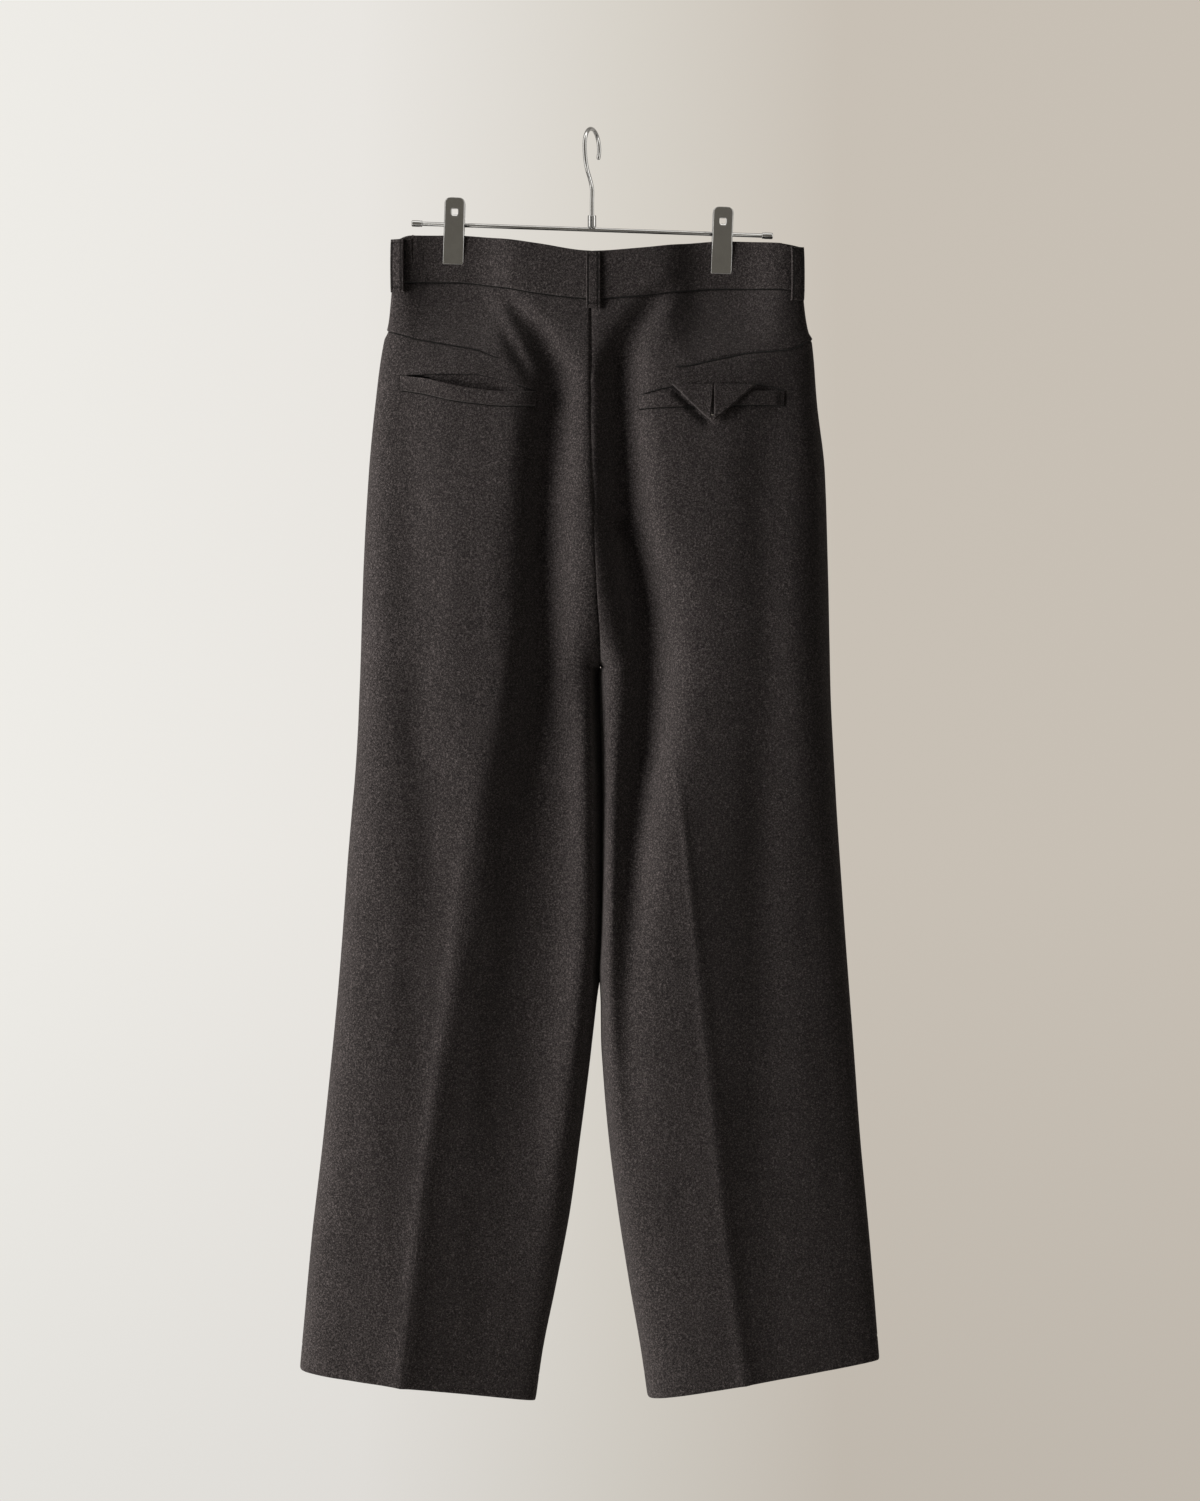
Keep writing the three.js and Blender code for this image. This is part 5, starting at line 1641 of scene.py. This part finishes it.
def smooth_path(knots, per_span):
    """A centripetal Catmull-Rom curve through the knots."""
    ends = np.concatenate([[2 * knots[0] - knots[1]], knots, [2 * knots[-1] - knots[-2]]])
    path = []
    for a, b, c, d in zip(ends, ends[1:], ends[2:], ends[3:]):
        t0 = 0.0
        t1 = t0 + np.linalg.norm(b - a) ** 0.5
        t2 = t1 + np.linalg.norm(c - b) ** 0.5
        t3 = t2 + np.linalg.norm(d - c) ** 0.5
        for t in t1 + (t2 - t1) * np.arange(per_span) / per_span:
            ab = ((t1 - t) * a + (t - t0) * b) / (t1 - t0)
            bc = ((t2 - t) * b + (t - t1) * c) / (t2 - t1)
            cd = ((t3 - t) * c + (t - t2) * d) / (t3 - t2)
            abc = ((t2 - t) * ab + (t - t0) * bc) / (t2 - t0)
            bcd = ((t3 - t) * bc + (t - t1) * cd) / (t3 - t1)
            path.append(((t2 - t) * abc + (t - t1) * bcd) / (t2 - t1))
    path.append(knots[-1])
    return np.array(path)


PLATE_WIDTH = 19.0
PLATE_ABOVE = 24.0
PLATE_BELOW = 37.0
PLATE_METAL = 1.2
PLATE_CORNER = 5.0
PLATE_ROLL = 1.3
ROLL_DEPTH = 0.55
CHANNEL_DEPTH = 1.9
CHANNEL_STARTS = (-14.0, -6.0)
WINDOW = {"wide": 6.0, "tall": {BACK: 5.0, FRONT: 8.5}, "drop": {BACK: 13.0, FRONT: 11.5}}
PLATE_CLEARANCE = 0.35
PLATE_SPREAD = math.radians(5)


def plate_stations(window_top, window_low):
    """Places across half a plate and down it, close together at its edges and its window."""
    half, wide = PLATE_WIDTH / 2, WINDOW["wide"] / 2
    to_window = np.linspace(-half + 3.6, -wide, 5)[:-1]
    w = np.concatenate([np.linspace(-half, -half + 3.2, 10), to_window])
    w = np.concatenate([w, np.linspace(-wide, wide, 7), -w[::-1]])
    s = np.concatenate(
        [
            PLATE_ABOVE - np.array([0, 0.25, 0.7, 1.3, 2.1, 3.1, 4.2, 5.4]),
            np.linspace(PLATE_ABOVE - 7, window_top, 4),
            np.linspace(window_top, window_low, 6)[1:],
            np.linspace(window_low, -PLATE_BELOW + 1, 16)[1:],
            -PLATE_BELOW + np.array([0.6, 0.25, 0.0]),
        ]
    )
    return w, s


def clip_plate(side, face):
    """A channel plate with rolled edges, a rounded head and a punched window."""
    half = PLATE_WIDTH / 2
    window_top = PLATE_ABOVE - WINDOW["drop"][face] + WINDOW["tall"][face] / 2
    window_low = window_top - WINDOW["tall"][face]
    w, s = plate_stations(window_top, window_low)
    down = s[:, None]
    into_head = np.clip((down - (PLATE_ABOVE - PLATE_CORNER)) / PLATE_CORNER, 0, 1)
    narrowed = half - PLATE_CORNER * (1 - np.sqrt(1 - into_head**2))
    across_plate = w[None, :] / half * narrowed
    reach = smooth(*CHANNEL_STARTS, down)
    roll = edge_round(narrowed - np.abs(across_plate), PLATE_ROLL)
    away = -(1 - roll) * (ROLL_DEPTH + CHANNEL_DEPTH * reach)
    from_end = np.minimum(s[0] - down, down - s[-1])
    lip = -0.35 * (1 - edge_round(from_end, 0.6))
    lift = PINCH_HALF_DEPTH + PLATE_CLEARANCE + (down + PLATE_BELOW) * math.tan(PLATE_SPREAD)
    depth_out = lift + PLATE_METAL + away + lip
    depth_in = np.minimum(lift + away * (0.15 + 0.85 * reach), depth_out - 0.35)
    base = on_bar(CLIP_X[side]) + across_plate[..., None] * BAR_AXIS
    base = base + (down + 0 * across_plate)[..., None] * BAR_UP
    outer = base + depth_out[..., None] * face * FORWARD
    inner = base + depth_in[..., None] * face * FORWARD
    mid_w = (w[:-1] + w[1:])[None, :] / 2
    mid_s = (s[:-1] + s[1:])[:, None] / 2
    hole = (np.abs(mid_w) < WINDOW["wide"] / 2) & (mid_s < window_top) & (mid_s > window_low)
    name = "clip_" + SIDE_NAME[side] + "_" + FACE_NAME[face]
    metal(wall_object(name + "_plate", outer, inner, chrome, hole), name)


SPRING = {"wire": 0.7, "radius": 5.2, "turns": 5.5, "half_length": 4.8, "steps": 150}


def clip_spring(side):
    """A coil round the bar whose two ends lie on the plates."""
    angle = np.linspace(0, SPRING["turns"] * math.tau, SPRING["steps"])[:, None]
    along = np.linspace(-SPRING["half_length"], SPRING["half_length"], SPRING["steps"])[:, None]
    round_bar = np.cos(angle) * FORWARD + np.sin(angle) * BAR_UP
    path = on_bar(CLIP_X[side]) + along * BAR_AXIS + SPRING["radius"] * round_bar
    name = SIDE_NAME[side]
    metal(tube_object("spring_" + name, path, SPRING["wire"], chrome, sides=8), "clip_spring_" + name)


left_pocket()
right_pocket()
for side in (LEFT, RIGHT):
    waistband(side)
for loop in LOOPS:
    belt_loop(loop)
flap_stitch()
for side in (LEFT, RIGHT):
    panel_seams(side)
pocket_seams()
for side in (LEFT, RIGHT):
    side_pocket(side)
fly_placket()
fly_zip()
zip_slider()
waist_button()
bar_and_caps()
ferrule()
hook()
for side in (LEFT, RIGHT):
    clip_spring(side)
    for face in (BACK, FRONT):
        clip_plate(side, face)


# Camera, light and floor

CAMERA_PLACE = (7.4, -3200.0, -570.0)
FLOOR = {"radius": 1.8, "z": -1.75}
CAMERA_LENS = 83.4
SENSOR = 36.0


def add_camera():
    data = bpy.data.cameras.new("camera")
    data.sensor_fit = "VERTICAL"
    data.sensor_height = SENSOR
    data.sensor_width = SENSOR
    data.lens = CAMERA_LENS
    camera = bpy.data.objects.new("camera", data)
    camera.location = [v * MM for v in CAMERA_PLACE]
    camera.rotation_euler = (math.radians(90), 0, 0)
    bpy.context.scene.collection.objects.link(camera)
    bpy.context.scene.camera = camera


def add_area_light(name, place, target, size, power, colour):
    data = bpy.data.lights.new(name, "AREA")
    data.shape = "RECTANGLE"
    data.size, data.size_y = size
    data.energy = power
    data.color = colour
    light = bpy.data.objects.new(name, data)
    light.location = place
    direction = np.array(target) - np.array(place)
    light.rotation_euler = Vector(direction).to_track_quat("-Z", "Y").to_euler()
    light.visible_glossy = False
    bpy.context.scene.collection.objects.link(light)


# Painted light on the backdrop seen behind the trousers: lighter on the left, where the light comes from, and
# darker to the right.
PAINTED_LIGHT_WALL_COLOURS = [
    (0.0, linear(238, 236, 231)),
    (0.3, linear(233, 230, 225)),
    (0.52, linear(215, 210, 201)),
    (0.7, linear(200, 192, 181)),
    (1.0, linear(199, 191, 180)),
]
MIRRORED_COLOURS = [
    (0.0, linear(70, 67, 61)),
    (0.04, linear(84, 81, 75)),
    (0.08, linear(48, 46, 43)),
    (0.16, linear(118, 115, 109)),
    (0.26, linear(146, 143, 137)),
    (0.31, linear(250, 247, 242)),
    (0.38, linear(246, 243, 238)),
    (0.45, linear(124, 121, 116)),
    (0.75, linear(84, 81, 77)),
    (1.0, linear(150, 146, 140)),
]


def add_world():
    """A pale room whose backdrop has painted light. It is brighter on the left, where the light comes from,
    and darker towards the bottom. The room is much dimmer as light on the cloth than to the eye.
    """
    world = bpy.data.worlds.new("room")
    bpy.context.scene.world = world
    nodes = Nodes(world)
    direction = nodes.add("ShaderNodeTexCoord").outputs["Generated"]
    parts = nodes.add("ShaderNodeSeparateXYZ", {"Vector": direction})
    share = nodes.map_range(parts.outputs["X"], -0.17, 0.17)
    lower = nodes.map_range(parts.outputs["Z"], -0.22, -0.03, 0.9, 1.0)
    depth = nodes.map_range(parts.outputs["Y"], -1.0, 1.0)
    seen, soft, mirrored = (
        nodes.add("ShaderNodeBackground", {"Color": colour, "Strength": strength}).outputs[0]
        for colour, strength in (
            (ramp(nodes, share, PAINTED_LIGHT_WALL_COLOURS), lower),
            ((0.95, 0.93, 0.9, 1), 0.022),
            (ramp(nodes, depth, MIRRORED_COLOURS), 2.0),
        )
    )
    path = nodes.add("ShaderNodeLightPath")
    mix = seen
    for ray, background in (("Is Diffuse Ray", soft), ("Is Glossy Ray", mirrored)):
        inputs = {"Fac": path.outputs[ray], 1: mix, 2: background}
        mix = nodes.add("ShaderNodeMixShader", inputs).outputs[0]
    nodes.add("ShaderNodeOutputWorld", {"Surface": mix})


def add_floor():
    bpy.ops.mesh.primitive_circle_add(
        vertices=96, radius=FLOOR["radius"], fill_type="NGON", location=(0, 0, FLOOR["z"])
    )
    floor = bpy.context.object
    floor.name = "floor"
    stops = [(0.3, (0.7, 0.68, 0.64, 1)), (0.7, (0.76, 0.74, 0.7, 1))]
    floor.data.materials.append(plain_material("floor", 30.0, stops, 0.8, Detail=4.0))


add_camera()
add_world()
add_floor()
add_area_light("key", (-3.0, -1.15, -0.2), (0, 0, -0.62), (1.7, 2.2), 150.0, (1.0, 0.985, 0.96))
bpy.context.scene.view_settings.view_transform = "Standard"
bpy.context.scene.view_settings.look = "None"
